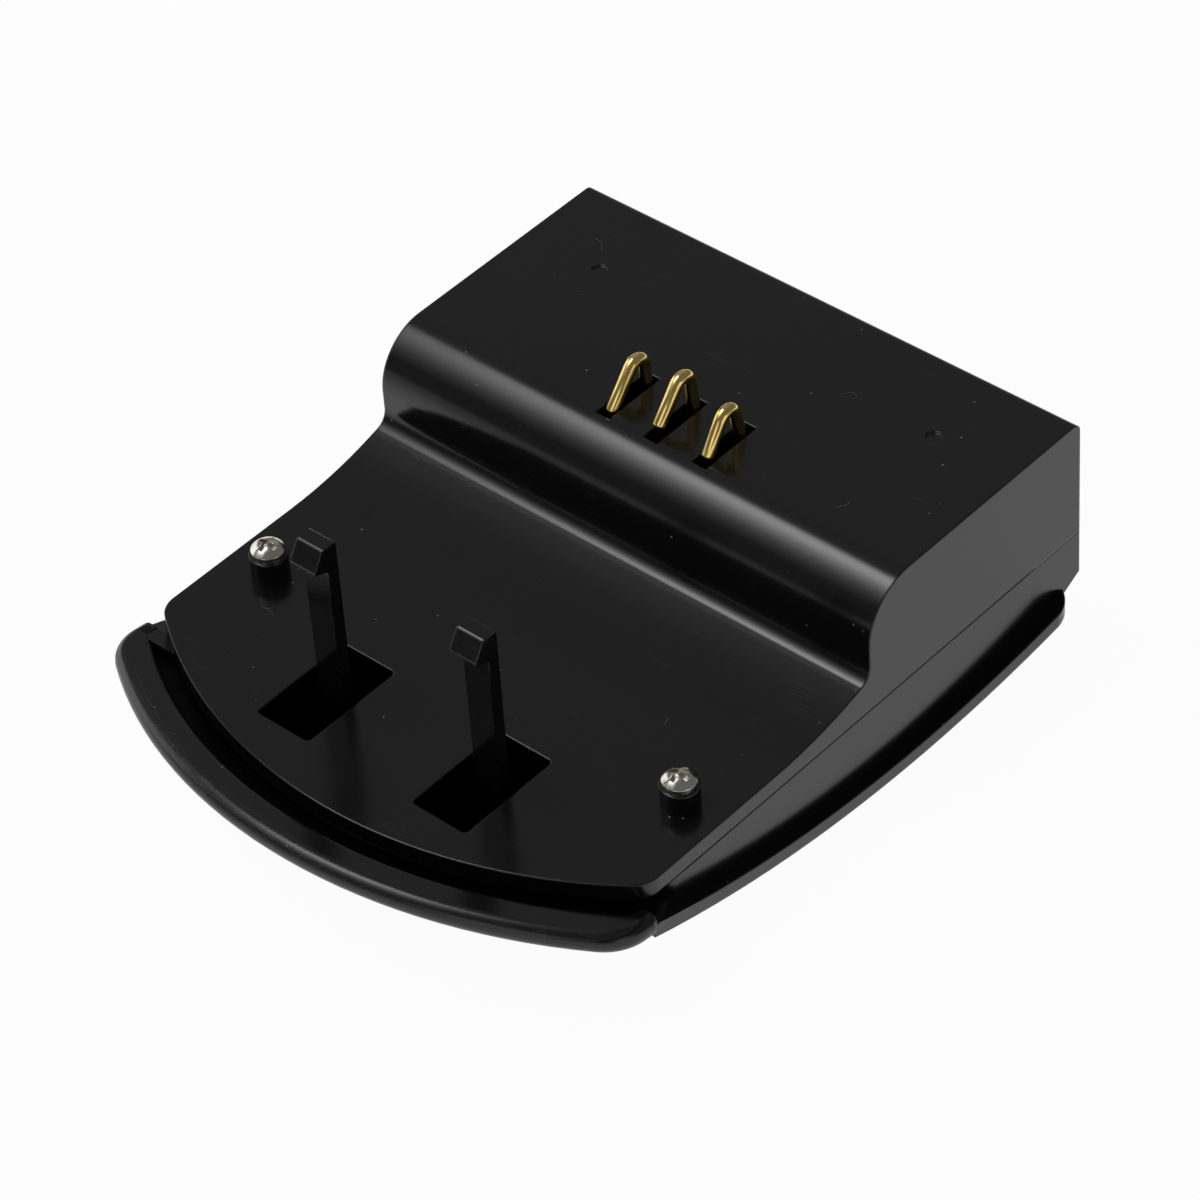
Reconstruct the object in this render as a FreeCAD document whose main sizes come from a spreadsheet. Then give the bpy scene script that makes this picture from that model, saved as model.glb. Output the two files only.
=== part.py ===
import FreeCAD, Part
import math
import os
import Sketcher

# Battery cradle of a camcorder charger: a stepped upper shell, a base shell with an arched
# flange and a raised front rim, a sprung slider with two hooks, and three sprung wire
# contacts. Millimetres, +Z up, -Y is the front. The origin lies under the middle of the part.

Vector = FreeCAD.Vector
doc = FreeCAD.newDocument("battery_cradle")
sheet = doc.addObject("Spreadsheet::Sheet", "sizes")


# A number together with the text that gives it in the document

class Size:
    """A value in mm or degrees and the expression that computes it from the sheet."""

    def __init__(self, value, text):
        self.value = float(value)
        self.text = text

    @staticmethod
    def of(item):
        if isinstance(item, Size):
            return item
        return Size(item, "%.6f" % item if item >= 0 else "(%.6f)" % item)

    def _with(self, other, sign, result):
        return Size(result, "(%s %s %s)" % (self.text, sign, Size.of(other).text))

    def __add__(self, other):
        return self._with(other, "+", self.value + Size.of(other).value)

    def __radd__(self, other):
        return Size.of(other) + self

    def __sub__(self, other):
        return self._with(other, "-", self.value - Size.of(other).value)

    def __rsub__(self, other):
        return Size.of(other) - self

    def __mul__(self, other):
        return self._with(other, "*", self.value * Size.of(other).value)

    def __rmul__(self, other):
        return Size.of(other) * self

    def __truediv__(self, other):
        return self._with(other, "/", self.value / Size.of(other).value)

    def __neg__(self):
        return Size(-self.value, "(0 - %s)" % self.text)


def root(item):
    item = Size.of(item)
    return Size(math.sqrt(item.value), "sqrt(%s)" % item.text)


def sine(angle):
    return Size(math.sin(math.radians(angle.value)), "sin(%s)" % angle.text)


def cosine(angle):
    return Size(math.cos(math.radians(angle.value)), "cos(%s)" % angle.text)


def tangent(angle):
    return Size(math.tan(math.radians(angle.value)), "tan(%s)" % angle.text)


# Driving sizes

SIZES = (
    # whole part
    ("depth", 80.7), ("shell_width", 62.0), ("seam_height", 10.7), ("wall", 1.9),
    # block, foot, ramp and deck of the upper shell
    ("block_top", 24.5), ("block_depth", 32.2), ("block_round", 6.0), ("block_back_round", 1.0),
    ("foot_height", 14.76), ("foot_round", 1.8), ("ramp_angle", 15.5), ("ramp_round", 45.0),
    ("deck_radius", 50.6), ("deck_corner", 3.0), ("deck_centre_back", 24.3),
    # lower walls and belly of the base shell
    ("lower_radius", 48.3), ("lower_corner", 2.5), ("back_chamfer_depth", 2.5),
    ("back_chamfer_top", 5.5), ("back_bottom", 4.2), ("belly_width", 54.0), ("belly_radius", 44.0),
    ("belly_corner", 3.0), ("belly_back", 3.5), ("floor", 1.8), ("wall_front_back", 59.95),
    ("tray_low", 5.4), ("tray_floor", 7.0), ("rear_floor", 5.7),
    # arched flange
    ("arch_radius", 119.7), ("arch_centre_back", 25.42), ("arch_low", 2.8), ("flange", 1.5),
    ("arch_end_back", 3.85), ("flange_end_back", 2.7), ("channel_floor", 9.6),
    ("flange_front_half", 32.8), ("flange_back_half", 32.7), ("flange_bow", 1100.0),
    ("flange_corner", 3.2), ("flange_corner_back", 5.55),
    # front rim
    ("rim_radius", 52.6), ("rim_centre_back", 28.29), ("rim_tilt", 7.8),
    ("rim_axis_height", 5.5), ("rim_thickness", 2.4), ("rim_root", 3.2), ("rim_half", 33.0),
    ("rim_corner", 5.5), ("rim_inner", 49.2), ("rim_inner_half", 30.6),
    ("rim_inner_corner", 1.5), ("rim_inner_round", 0.8), ("rim_nose", 1.16),
    ("rim_root_radius", 50.4), ("rim_root_half", 31.1), ("rim_root_corner", 1.5),
    ("rim_end_back", 65.7), ("rim_overlap", 0.1),
    # windows, hooks and slider
    ("window_inner", 6.6), ("window_outer", 13.36), ("window_front_back", 69.5),
    ("window_rear_back", 57.4), ("window_corner", 0.5), ("hook_spread", 10.0),
    ("hook_width", 3.2), ("hook_depth", 1.3), ("hook_back", 62.11), ("hook_top", 31.1),
    ("hook_reach", 1.7), ("hook_nose_drop", 2.0), ("hook_head", 2.9), ("hook_lead", 1.2),
    ("hook_tip", 0.3), ("hook_round", 0.55), ("bar_top_height", 7.4), ("hold_spread", 4.5),
    ("bar_half", 12.2), ("bar_depth", 6.0), ("bar_height", 3.0), ("bar_clear", 0.3),
    ("bar_behind_hook", 4.36), ("slide_travel", 2.2), ("guide_clear", 0.3), ("guide", 1.5),
    ("track_back", 53.4), ("stop_gap", 0.1), ("stop_half", 3.0), ("rail_inner", 4.0),
    ("rail_outer", 11.0), ("spring_length", 12.0), ("spring_radius", 1.25),
    ("spring_wire", 0.25), ("spring_turns", 6.0), ("spigot_radius", 0.8),
    ("spigot_length", 2.0), ("spring_rib", 1.5), ("spring_rib_half", 2.6),
    # contacts and what carries them
    ("contact_pitch", 6.1), ("slot_width", 1.8), ("slot_front_back", 27.05),
    ("slot_rear_back", 19.5), ("wire_radius", 0.7), ("pin_back", 7.35), ("pin_height", 20.0),
    ("pin_radius", 0.8), ("pin_clear", 0.05), ("pin_half", 10.2), ("coil_step", 1.2),
    ("wire_end_back", 25.75),
    ("left_end_height", 24.0), ("left_peak_back", 21.0), ("left_peak_height", 29.6),
    ("middle_end_height", 25.3), ("middle_peak_back", 21.3), ("middle_peak_height", 30.6),
    ("right_end_height", 24.6), ("right_peak_back", 22.2), ("right_peak_height", 30.05),
    ("leg_back", 20.35), ("leg_bend", 1.2), ("peak_bend", 1.1), ("tail_end", 10.0),
    ("upright_inner", 3.05), ("upright_outer", 9.3), ("upright_inner_thick", 1.2),
    ("upright_outer_thick", 1.4), ("upright_front_back", 11.85), ("upright_rear_back", 4.75),
    ("carrier_low", 14.0), ("carrier_plate", 1.8), ("carrier_half", 14.9),
    ("carrier_rear_back", 7.2), ("upright_top", 21.9), ("boss_spread", 12.5),
    ("boss_back", 9.6), ("carrier_boss", 3.8),
    # screws, bosses and sink marks
    ("front_screw_x", 26.2), ("front_screw_back", 54.1), ("collar_radius", 1.95),
    ("collar_height", 2.3), ("front_boss", 2.2), ("front_boss_low", 5.6),
    ("front_pilot_low", 6.8), ("rear_screw_x", 21.2),
    ("rear_screw_back", 10.2), ("rear_boss", 2.75), ("rear_tube", 3.5), ("rear_split", 9.0),
    ("rear_seat", 5.0), ("rear_recess", 2.4), ("pilot_radius", 1.02), ("shank_radius", 1.0),
    ("hole_radius", 1.15), ("head_radius", 1.72), ("head_height", 1.4), ("head_edge", 0.6),
    ("recess_width", 0.55), ("recess_reach", 1.1), ("recess_depth", 0.85), ("tip", 0.7),
    ("sink_radius", 0.8), ("sink_depth", 0.2),
    # board and what is on it
    ("board_half", 20.0), ("board_front_back", 40.0), ("board_rear_back", 14.5),
    ("board_low", 4.0), ("board", 1.0), ("board_screw_x", 17.0), ("board_screw_back", 36.5),
    ("board_post_back", 18.0), ("board_boss", 3.6), ("chip_long", 7.0), ("chip_wide", 4.4),
    ("chip_high", 1.5), ("capacitor_radius", 3.0), ("capacitor_high", 5.0),
    ("capacitor_spread", 9.0), ("resistor_long", 2.0), ("resistor_wide", 1.25),
    ("resistor_high", 0.5), ("diode_long", 4.3), ("diode_wide", 2.6), ("diode_high", 2.2),
    ("lead_radius", 0.55), ("lead_bend", 1.4), ("lead_run", 6.2), ("lead_board_back", 16.2),
    ("pad_pitch", 6.0), ("pad_thick", 1.2), ("pad_long", 6.0), ("pad_inset", 0.3),
    ("pad_clear", 0.15), ("pad_back", 30.0),
)


class Sheet:
    """Every driving size by its name, as a Size bound to its cell."""

    def __init__(self):
        for row, (name, value) in enumerate(SIZES, 1):
            cell = "A%d" % row
            sheet.set(cell, "%s" % value)
            sheet.setAlias(cell, name)
            setattr(self, name, Size(value, "sizes.%s" % name))


s = Sheet()
doc.recompute()

# Named places that several pieces share

HALF = s.shell_width / 2
BACK = s.depth / 2
ARC_Y = BACK - s.deck_centre_back
RIM_Y = BACK - s.rim_centre_back
DECK_TOP = s.seam_height + s.wall
CEILING = s.block_top - s.wall
INNER_HALF = HALF - s.wall
BLOCK_FRONT = BACK - s.block_depth
ARCH_Y = BACK - s.arch_centre_back
ARCH_Z = s.arch_low + s.arch_radius
PIN_Y = BACK - s.pin_back
EYE = s.pin_radius + s.pin_clear + s.wire_radius
RIM_END = BACK - s.rim_end_back
HOOK_Y = BACK - s.hook_back
BAR_REAR = HOOK_Y + s.bar_behind_hook
BAR_FRONT = BAR_REAR - s.bar_depth
BAR_TOP = s.bar_top_height
BAR_LOW = BAR_TOP - s.bar_height
SPRING_Z = BAR_LOW + s.bar_height / 2
BOARD_TOP = s.board_low + s.board


# Sketch and feature helpers

def bind(item, prop, size):
    item.setExpression(prop, Size.of(size).text)


def new_body(name):
    body = doc.addObject("PartDesign::Body", name)
    body.Label = name
    return body


def new_sketch(body, name, plane, offset=0.0):
    """A sketch on one of the body's own planes, moved along its normal by offset."""
    sketch = body.newObject("Sketcher::SketchObject", name)
    for feature in body.Origin.OriginFeatures:
        if feature.Role == plane + "_Plane":
            sketch.AttachmentSupport = [(feature, "")]
    sketch.MapMode = "FlatFace"
    offset = Size.of(offset)
    sketch.AttachmentOffset = FreeCAD.Placement(Vector(0, 0, offset.value), FreeCAD.Rotation())
    bind(sketch, "AttachmentOffset.Base.z", offset)
    return sketch


def tilt_sketch(sketch, drop):
    """Lays a flat sketch in the inclined plane of the rim or drop below it.

    The sketch's origin is on the rim's own axis."""
    y = RIM_Y - drop * sine(s.rim_tilt)
    z = s.rim_axis_height - drop * cosine(s.rim_tilt)
    turn = FreeCAD.Rotation(Vector(-1, 0, 0), s.rim_tilt.value)
    sketch.AttachmentOffset = FreeCAD.Placement(Vector(0, y.value, z.value), turn)
    bind(sketch, "AttachmentOffset.Base.y", y)
    bind(sketch, "AttachmentOffset.Base.z", z)
    bind(sketch, "AttachmentOffset.Rotation.Angle", s.rim_tilt)


def fix(sketch, kind, references, size):
    size = Size.of(size)
    index = sketch.addConstraint(Sketcher.Constraint(kind, *references, size.value))
    sketch.setExpression("Constraints[%d]" % index, size.text)


def pin_point(sketch, geometry, position, x, y):
    fix(sketch, "DistanceX", (geometry, position), x)
    fix(sketch, "DistanceY", (geometry, position), y)


class Corner:
    """A corner of an outline: its place, its rounding, and the bow of the edge after it.

    round is the radius between two straight edges. bow is (radius, +1 or -1): the edge to the
    next corner is an arc that turns left (+1) or right (-1)."""

    def __init__(self, x, y, round=None, bow=None):
        self.x = Size.of(x)
        self.y = Size.of(y)
        self.round = round
        self.bow = bow

    def point(self):
        return Vector(self.x.value, self.y.value, 0)


def draw(sketch, corners, closed=True):
    """Draws the outline with every end placed from the sheet and returns its geometry ids."""
    count = len(corners)
    points = [corner.point() for corner in corners]
    starts = list(points)
    ends = list(points)
    for i, corner in enumerate(corners):
        if corner.round is not None:
            before = (points[i - 1] - points[i]).normalize()
            after = (points[(i + 1) % count] - points[i]).normalize()
            half = before.getAngle(after) / 2
            reach = Size.of(corner.round).value / math.tan(half)
            ends[i] = points[i] + before * reach
            starts[i] = points[i] + after * reach
    last = count if closed else count - 1
    edges = []
    for i in range(last):
        j = (i + 1) % count
        a = starts[i]
        b = ends[j]
        if corners[i].bow is None:
            edges.append((sketch.addGeometry(Part.LineSegment(a, b)), 1, 2))
            continue
        radius = Size.of(corners[i].bow[0])
        left = corners[i].bow[1] > 0
        chord = b - a
        middle = (a + b) / 2
        rise = math.sqrt(max(radius.value ** 2 - chord.Length ** 2 / 4, 0.0))
        side = Vector(-chord.y, chord.x, 0).normalize() * rise
        centre = middle + side if left else middle - side
        first, second = (a, b) if left else (b, a)
        angle_a = math.atan2(first.y - centre.y, first.x - centre.x)
        angle_b = math.atan2(second.y - centre.y, second.x - centre.x)
        circle = Part.Circle(centre, Vector(0, 0, 1), radius.value)
        arc = sketch.addGeometry(Part.ArcOfCircle(circle, angle_a, angle_b))
        fix(sketch, "Radius", (arc,), radius)
        edges.append((arc, 1, 2) if left else (arc, 2, 1))
    for i, corner in enumerate(corners):
        into = edges[i - 1] if (closed or i > 0) else None
        out = edges[i] if i < last else None
        if corner.round is None:
            if into and out:
                sketch.addConstraint(
                    Sketcher.Constraint("Coincident", into[0], into[2], out[0], out[1]))
            held = (out[0], out[1]) if out else (into[0], into[2])
            pin_point(sketch, held[0], held[1], corner.x, corner.y)
            continue
        round_off(sketch, corner, into, out, points[i], ends[i], starts[i])
    return edges


def round_off(sketch, corner, into, out, vertex, end, start):
    """Joins two straight edges with a tangent arc and holds their meeting point."""
    radius = Size.of(corner.round)
    to_centre = ((end - vertex) + (start - vertex)).normalize()
    half = (end - vertex).getAngle(start - vertex) / 2
    centre = vertex + to_centre * (radius.value / math.sin(half))
    left = (vertex - end).cross(start - vertex).z > 0
    first, second = (end, start) if left else (start, end)
    circle = Part.Circle(centre, Vector(0, 0, 1), radius.value)
    angle_a = math.atan2(first.y - centre.y, first.x - centre.x)
    angle_b = math.atan2(second.y - centre.y, second.x - centre.x)
    arc = sketch.addGeometry(Part.ArcOfCircle(circle, angle_a, angle_b))
    point = sketch.addGeometry(Part.Point(vertex), True)
    near, far = (1, 2) if left else (2, 1)
    sketch.addConstraint(Sketcher.Constraint("Tangent", into[0], into[2], arc, near))
    sketch.addConstraint(Sketcher.Constraint("Tangent", out[0], out[1], arc, far))
    sketch.addConstraint(Sketcher.Constraint("PointOnObject", point, 1, into[0]))
    sketch.addConstraint(Sketcher.Constraint("PointOnObject", point, 1, out[0]))
    fix(sketch, "Radius", (arc,), radius)
    pin_point(sketch, point, 1, corner.x, corner.y)


def circle(sketch, x, y, radius):
    x = Size.of(x)
    y = Size.of(y)
    radius = Size.of(radius)
    shape = Part.Circle(Vector(x.value, y.value, 0), Vector(0, 0, 1), radius.value)
    index = sketch.addGeometry(shape)
    fix(sketch, "Radius", (index,), radius)
    pin_point(sketch, index, 3, x, y)
    return index


def axis_line(sketch, x, y, along_x, along_y):
    """A construction line through (x, y) in the given direction; the first one is Axis0."""
    x = Size.of(x)
    y = Size.of(y)
    end_x = x + along_x
    end_y = y + along_y
    line = sketch.addGeometry(
        Part.LineSegment(Vector(x.value, y.value, 0), Vector(end_x.value, end_y.value, 0)), True)
    pin_point(sketch, line, 1, x, y)
    pin_point(sketch, line, 2, end_x, end_y)


def box_corners(x_low, x_high, y_low, y_high, round=None):
    return [Corner(x_low, y_low, round), Corner(x_high, y_low, round),
            Corner(x_high, y_high, round), Corner(x_low, y_high, round)]


def bowed_corners(half, rear, radius, centre, front_round, rear_round=None):
    """An outline with straight sides at +-half, a straight rear and a bowed front.

    The bow of the given radius is struck about (0, centre); it meets the sides through arcs of
    front_round, tangent to both."""
    small = Size.of(half) - front_round
    reach = Size.of(radius) - front_round
    small_y = centre - root(reach * reach - small * small)
    touch_x = small * radius / reach
    touch_y = centre + (small_y - centre) * radius / reach
    return [Corner(half, rear, rear_round),
            Corner(-half, rear, rear_round),
            Corner(-half, small_y, bow=(front_round, 1)),
            Corner(-touch_x, touch_y, bow=(radius, 1)),
            Corner(touch_x, touch_y, bow=(front_round, 1)),
            Corner(half, small_y)]


def finish_sketch(sketch):
    doc.recompute()


def grow(body, name, sketch, length, both=False, back=False):
    """Pads the sketch along its normal; both centres it, back goes the other way."""
    finish_sketch(sketch)
    pad = body.newObject("PartDesign::Pad", name)
    pad.Profile = sketch
    bind(pad, "Length", length)
    pad.Midplane = both
    pad.Reversed = back
    doc.recompute()
    return pad


def cut(body, name, sketch, length, both=False, ahead=True):
    """Pockets the sketch; ahead cuts along its normal, otherwise against it."""
    finish_sketch(sketch)
    pocket = body.newObject("PartDesign::Pocket", name)
    pocket.Profile = sketch
    bind(pocket, "Length", length)
    pocket.Midplane = both
    pocket.Reversed = ahead
    doc.recompute()
    return pocket


def spin(body, name, sketch):
    finish_sketch(sketch)
    turned = body.newObject("PartDesign::Revolution", name)
    turned.Profile = sketch
    turned.ReferenceAxis = (sketch, ["Axis0"])
    turned.Angle = 360.0
    doc.recompute()
    return turned


def slab(body, name, corners, low, high):
    """A pad of a plan outline between two heights."""
    sketch = new_sketch(body, name + "_plan", "XY", low)
    draw(sketch, corners)
    return grow(body, name, sketch, Size.of(high) - low)


def hollow(body, name, corners, low, high):
    """A pocket of a plan outline between two heights."""
    sketch = new_sketch(body, name + "_plan", "XY", low)
    draw(sketch, corners)
    return cut(body, name, sketch, Size.of(high) - low)


def square(x, y, wide):
    """The corners of a square about (x, y)."""
    half = Size.of(wide) / 2
    return box_corners(Size.of(x) - half, Size.of(x) + half, Size.of(y) - half, Size.of(y) + half)


def ring_of(x, y, radius, count):
    """The corners of a regular outline about (x, y)."""
    corners = []
    for index in range(count):
        angle = 2 * math.pi * (index + 0.5) / count
        corners.append(Corner(Size.of(x) + Size.of(radius) * math.cos(angle),
                              Size.of(y) + Size.of(radius) * math.sin(angle)))
    return corners


def post(body, name, x, y, radius, low, high):
    sketch = new_sketch(body, name + "_circle", "XY", low)
    circle(sketch, x, y, radius)
    return grow(body, name, sketch, Size.of(high) - low)


def bore(body, name, x, y, radius, low, high):
    sketch = new_sketch(body, name + "_circle", "XY", low)
    circle(sketch, x, y, radius)
    return cut(body, name, sketch, Size.of(high) - low)


def edges_near(shape, test):
    """The names of the edges whose middle point passes the test."""
    names = []
    for index, edge in enumerate(shape.Edges, 1):
        middle = edge.valueAt((edge.FirstParameter + edge.LastParameter) / 2)
        if test(middle, edge):
            names.append("Edge%d" % index)
    return names


def dress(body, kind, name, base, names, prop, size):
    feature = body.newObject("PartDesign::" + kind, name)
    feature.Base = (base, names)
    bind(feature, prop, size)
    doc.recompute()
    return feature


def pair(name, item):
    """One node that holds the item and its mirror image."""
    other = doc.addObject("Part::Mirroring", name + "_other")
    other.Source = item
    other.Normal = Vector(1, 0, 0)
    both = doc.addObject("Part::Compound", name)
    both.Links = [item, other]
    both.Label = name
    doc.recompute()
    return both


# Upper shell

def make_upper_shell():
    body = new_body("upper_shell")
    foot_turn = (90 - s.ramp_angle) / 2
    foot_reach = s.foot_round * tangent(foot_turn)
    ramp_reach = s.ramp_round * tangent(s.ramp_angle / 2)
    ramp_run = (s.foot_height - DECK_TOP) / tangent(s.ramp_angle)
    ramp_end = BLOCK_FRONT - ramp_run
    side = new_sketch(body, "shell_side", "YZ")
    draw(side, [
        Corner(BACK, s.seam_height),
        Corner(BACK, s.block_top, s.block_back_round),
        Corner(BLOCK_FRONT, s.block_top, s.block_round),
        Corner(BLOCK_FRONT, s.foot_height + foot_reach, bow=(s.foot_round, -1)),
        Corner(BLOCK_FRONT - foot_reach * cosine(s.ramp_angle),
               s.foot_height - foot_reach * sine(s.ramp_angle)),
        Corner(ramp_end + ramp_reach * cosine(s.ramp_angle),
               DECK_TOP + ramp_reach * sine(s.ramp_angle), bow=(s.ramp_round, -1)),
        Corner(ramp_end - ramp_reach, DECK_TOP),
        Corner(ARC_Y - s.deck_radius - 2, DECK_TOP),
        Corner(ARC_Y - s.deck_radius - 2, s.seam_height),
    ])
    grow(body, "shell_block", side, s.shell_width, both=True)

    bow = new_sketch(body, "deck_bow", "XY", s.seam_height - 1)
    draw(bow, bowed_corners(HALF, BACK + 1, s.deck_radius, ARC_Y, s.deck_corner))
    draw(bow, box_corners(-HALF - 10, HALF + 10, -BACK - 10, BACK + 10))
    cut(body, "deck_trim", bow, s.block_top, both=False)

    inner = new_sketch(body, "room_side", "YZ")
    drop = s.wall / cosine(s.ramp_angle)
    under_foot = s.foot_height + s.wall * tangent(s.ramp_angle) - drop
    under_end = BLOCK_FRONT - (s.foot_height - drop - s.seam_height) / tangent(s.ramp_angle)
    draw(inner, [
        Corner(BACK - s.wall, s.seam_height - 1),
        Corner(BACK - s.wall, CEILING, 0.6),
        Corner(BLOCK_FRONT + s.wall, CEILING, s.block_round - s.wall),
        Corner(BLOCK_FRONT + s.wall, under_foot),
        Corner(under_end, s.seam_height),
        Corner(under_end, s.seam_height - 1),
    ])
    cut(body, "room", inner, INNER_HALF * 2, both=True)

    for side_sign, word in ((1, "right"), (-1, "left")):
        rear_x = s.rear_screw_x * side_sign
        rear_y = BACK - s.rear_screw_back
        post(body, "rear_boss_" + word, rear_x, rear_y, s.rear_boss, s.rear_split, CEILING + 0.5)
        bore(body, "rear_pilot_" + word, rear_x, rear_y, s.pilot_radius,
             s.rear_split, s.rear_split + 9)
        boss_x = s.boss_spread * side_sign
        boss_y = BACK - s.boss_back
        boss_low = s.carrier_low + s.carrier_plate
        slab(body, "carrier_boss_" + word, square(boss_x, boss_y, s.carrier_boss), boss_low,
             CEILING + 0.5)
        hollow(body, "carrier_pilot_" + word, ring_of(boss_x, boss_y, s.pilot_radius, 12),
               boss_low, boss_low + 5)
        hold_x = s.hold_spread * side_sign
        slab(body, "hold_down_" + word,
             box_corners(hold_x - s.guide / 2, hold_x + s.guide / 2, BAR_FRONT + 1,
                         BAR_REAR + s.slide_travel),
             BAR_TOP + s.bar_clear, s.seam_height + 0.3)
        front_x = s.front_screw_x * side_sign
        front_y = BACK - s.front_screw_back
        post(body, "collar_" + word, front_x, front_y, s.collar_radius, DECK_TOP - 0.5,
             DECK_TOP + s.collar_height)
        bore(body, "screw_hole_" + word, front_x, front_y, s.hole_radius, s.seam_height - 1,
             DECK_TOP + s.collar_height + 1)
        bore(body, "sink_mark_" + word, rear_x, rear_y, s.sink_radius,
             s.block_top - s.sink_depth, s.block_top + 1)
        x_near = s.window_inner * side_sign
        x_far = s.window_outer * side_sign
        low_x, high_x = (x_near, x_far) if side_sign > 0 else (x_far, x_near)
        hollow(body, "window_" + word,
               box_corners(low_x, high_x, BACK - s.window_front_back,
                           BACK - s.window_rear_back, s.window_corner),
               s.seam_height - 1, DECK_TOP + 1)
    for step, word in ((-1, "left"), (0, "middle"), (1, "right")):
        x = s.contact_pitch * step
        hollow(body, "contact_slot_" + word,
               box_corners(x - s.slot_width / 2, x + s.slot_width / 2,
                           BACK - s.slot_front_back, BACK - s.slot_rear_back),
               CEILING - 1, s.block_top + 1)
    return body


# Base shell

def tilted_outline(body, name, outer, outer_half, outer_corner, drop, thick):
    """A sketch of the rim band, between its outer and inner outline, drop below its top.

    Its ends reach a little into the flange all the way down its thickness."""
    sketch = new_sketch(body, name, "XY")
    drop = Size.of(drop)
    tilt_sketch(sketch, drop)
    reach = RIM_END + s.rim_overlap - RIM_Y + (drop + thick) * sine(s.rim_tilt)
    end = reach / cosine(s.rim_tilt)
    outside = bowed_corners(outer_half, end, outer, Size.of(0), outer_corner)
    inside = bowed_corners(s.rim_inner_half, end, s.rim_inner, Size.of(0), s.rim_inner_corner)
    # one closed loop: round the outside from left to right, back along the inside
    loop = outside[1:]
    loop.append(Corner(outer_half, end))
    loop.append(Corner(s.rim_inner_half, end))
    loop.append(Corner(s.rim_inner_half, inside[5].y, bow=(s.rim_inner_corner, -1)))
    loop.append(Corner(inside[4].x, inside[4].y, bow=(s.rim_inner, -1)))
    loop.append(Corner(inside[3].x, inside[3].y, bow=(s.rim_inner_corner, -1)))
    loop.append(Corner(-s.rim_inner_half, inside[2].y))
    loop.append(Corner(-s.rim_inner_half, end))
    draw(sketch, loop)
    return sketch


def arch_height(radius, y):
    """The height of the arch of the given radius at y."""
    return ARCH_Z - root(radius * radius - (y - ARCH_Y) * (y - ARCH_Y))


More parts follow.
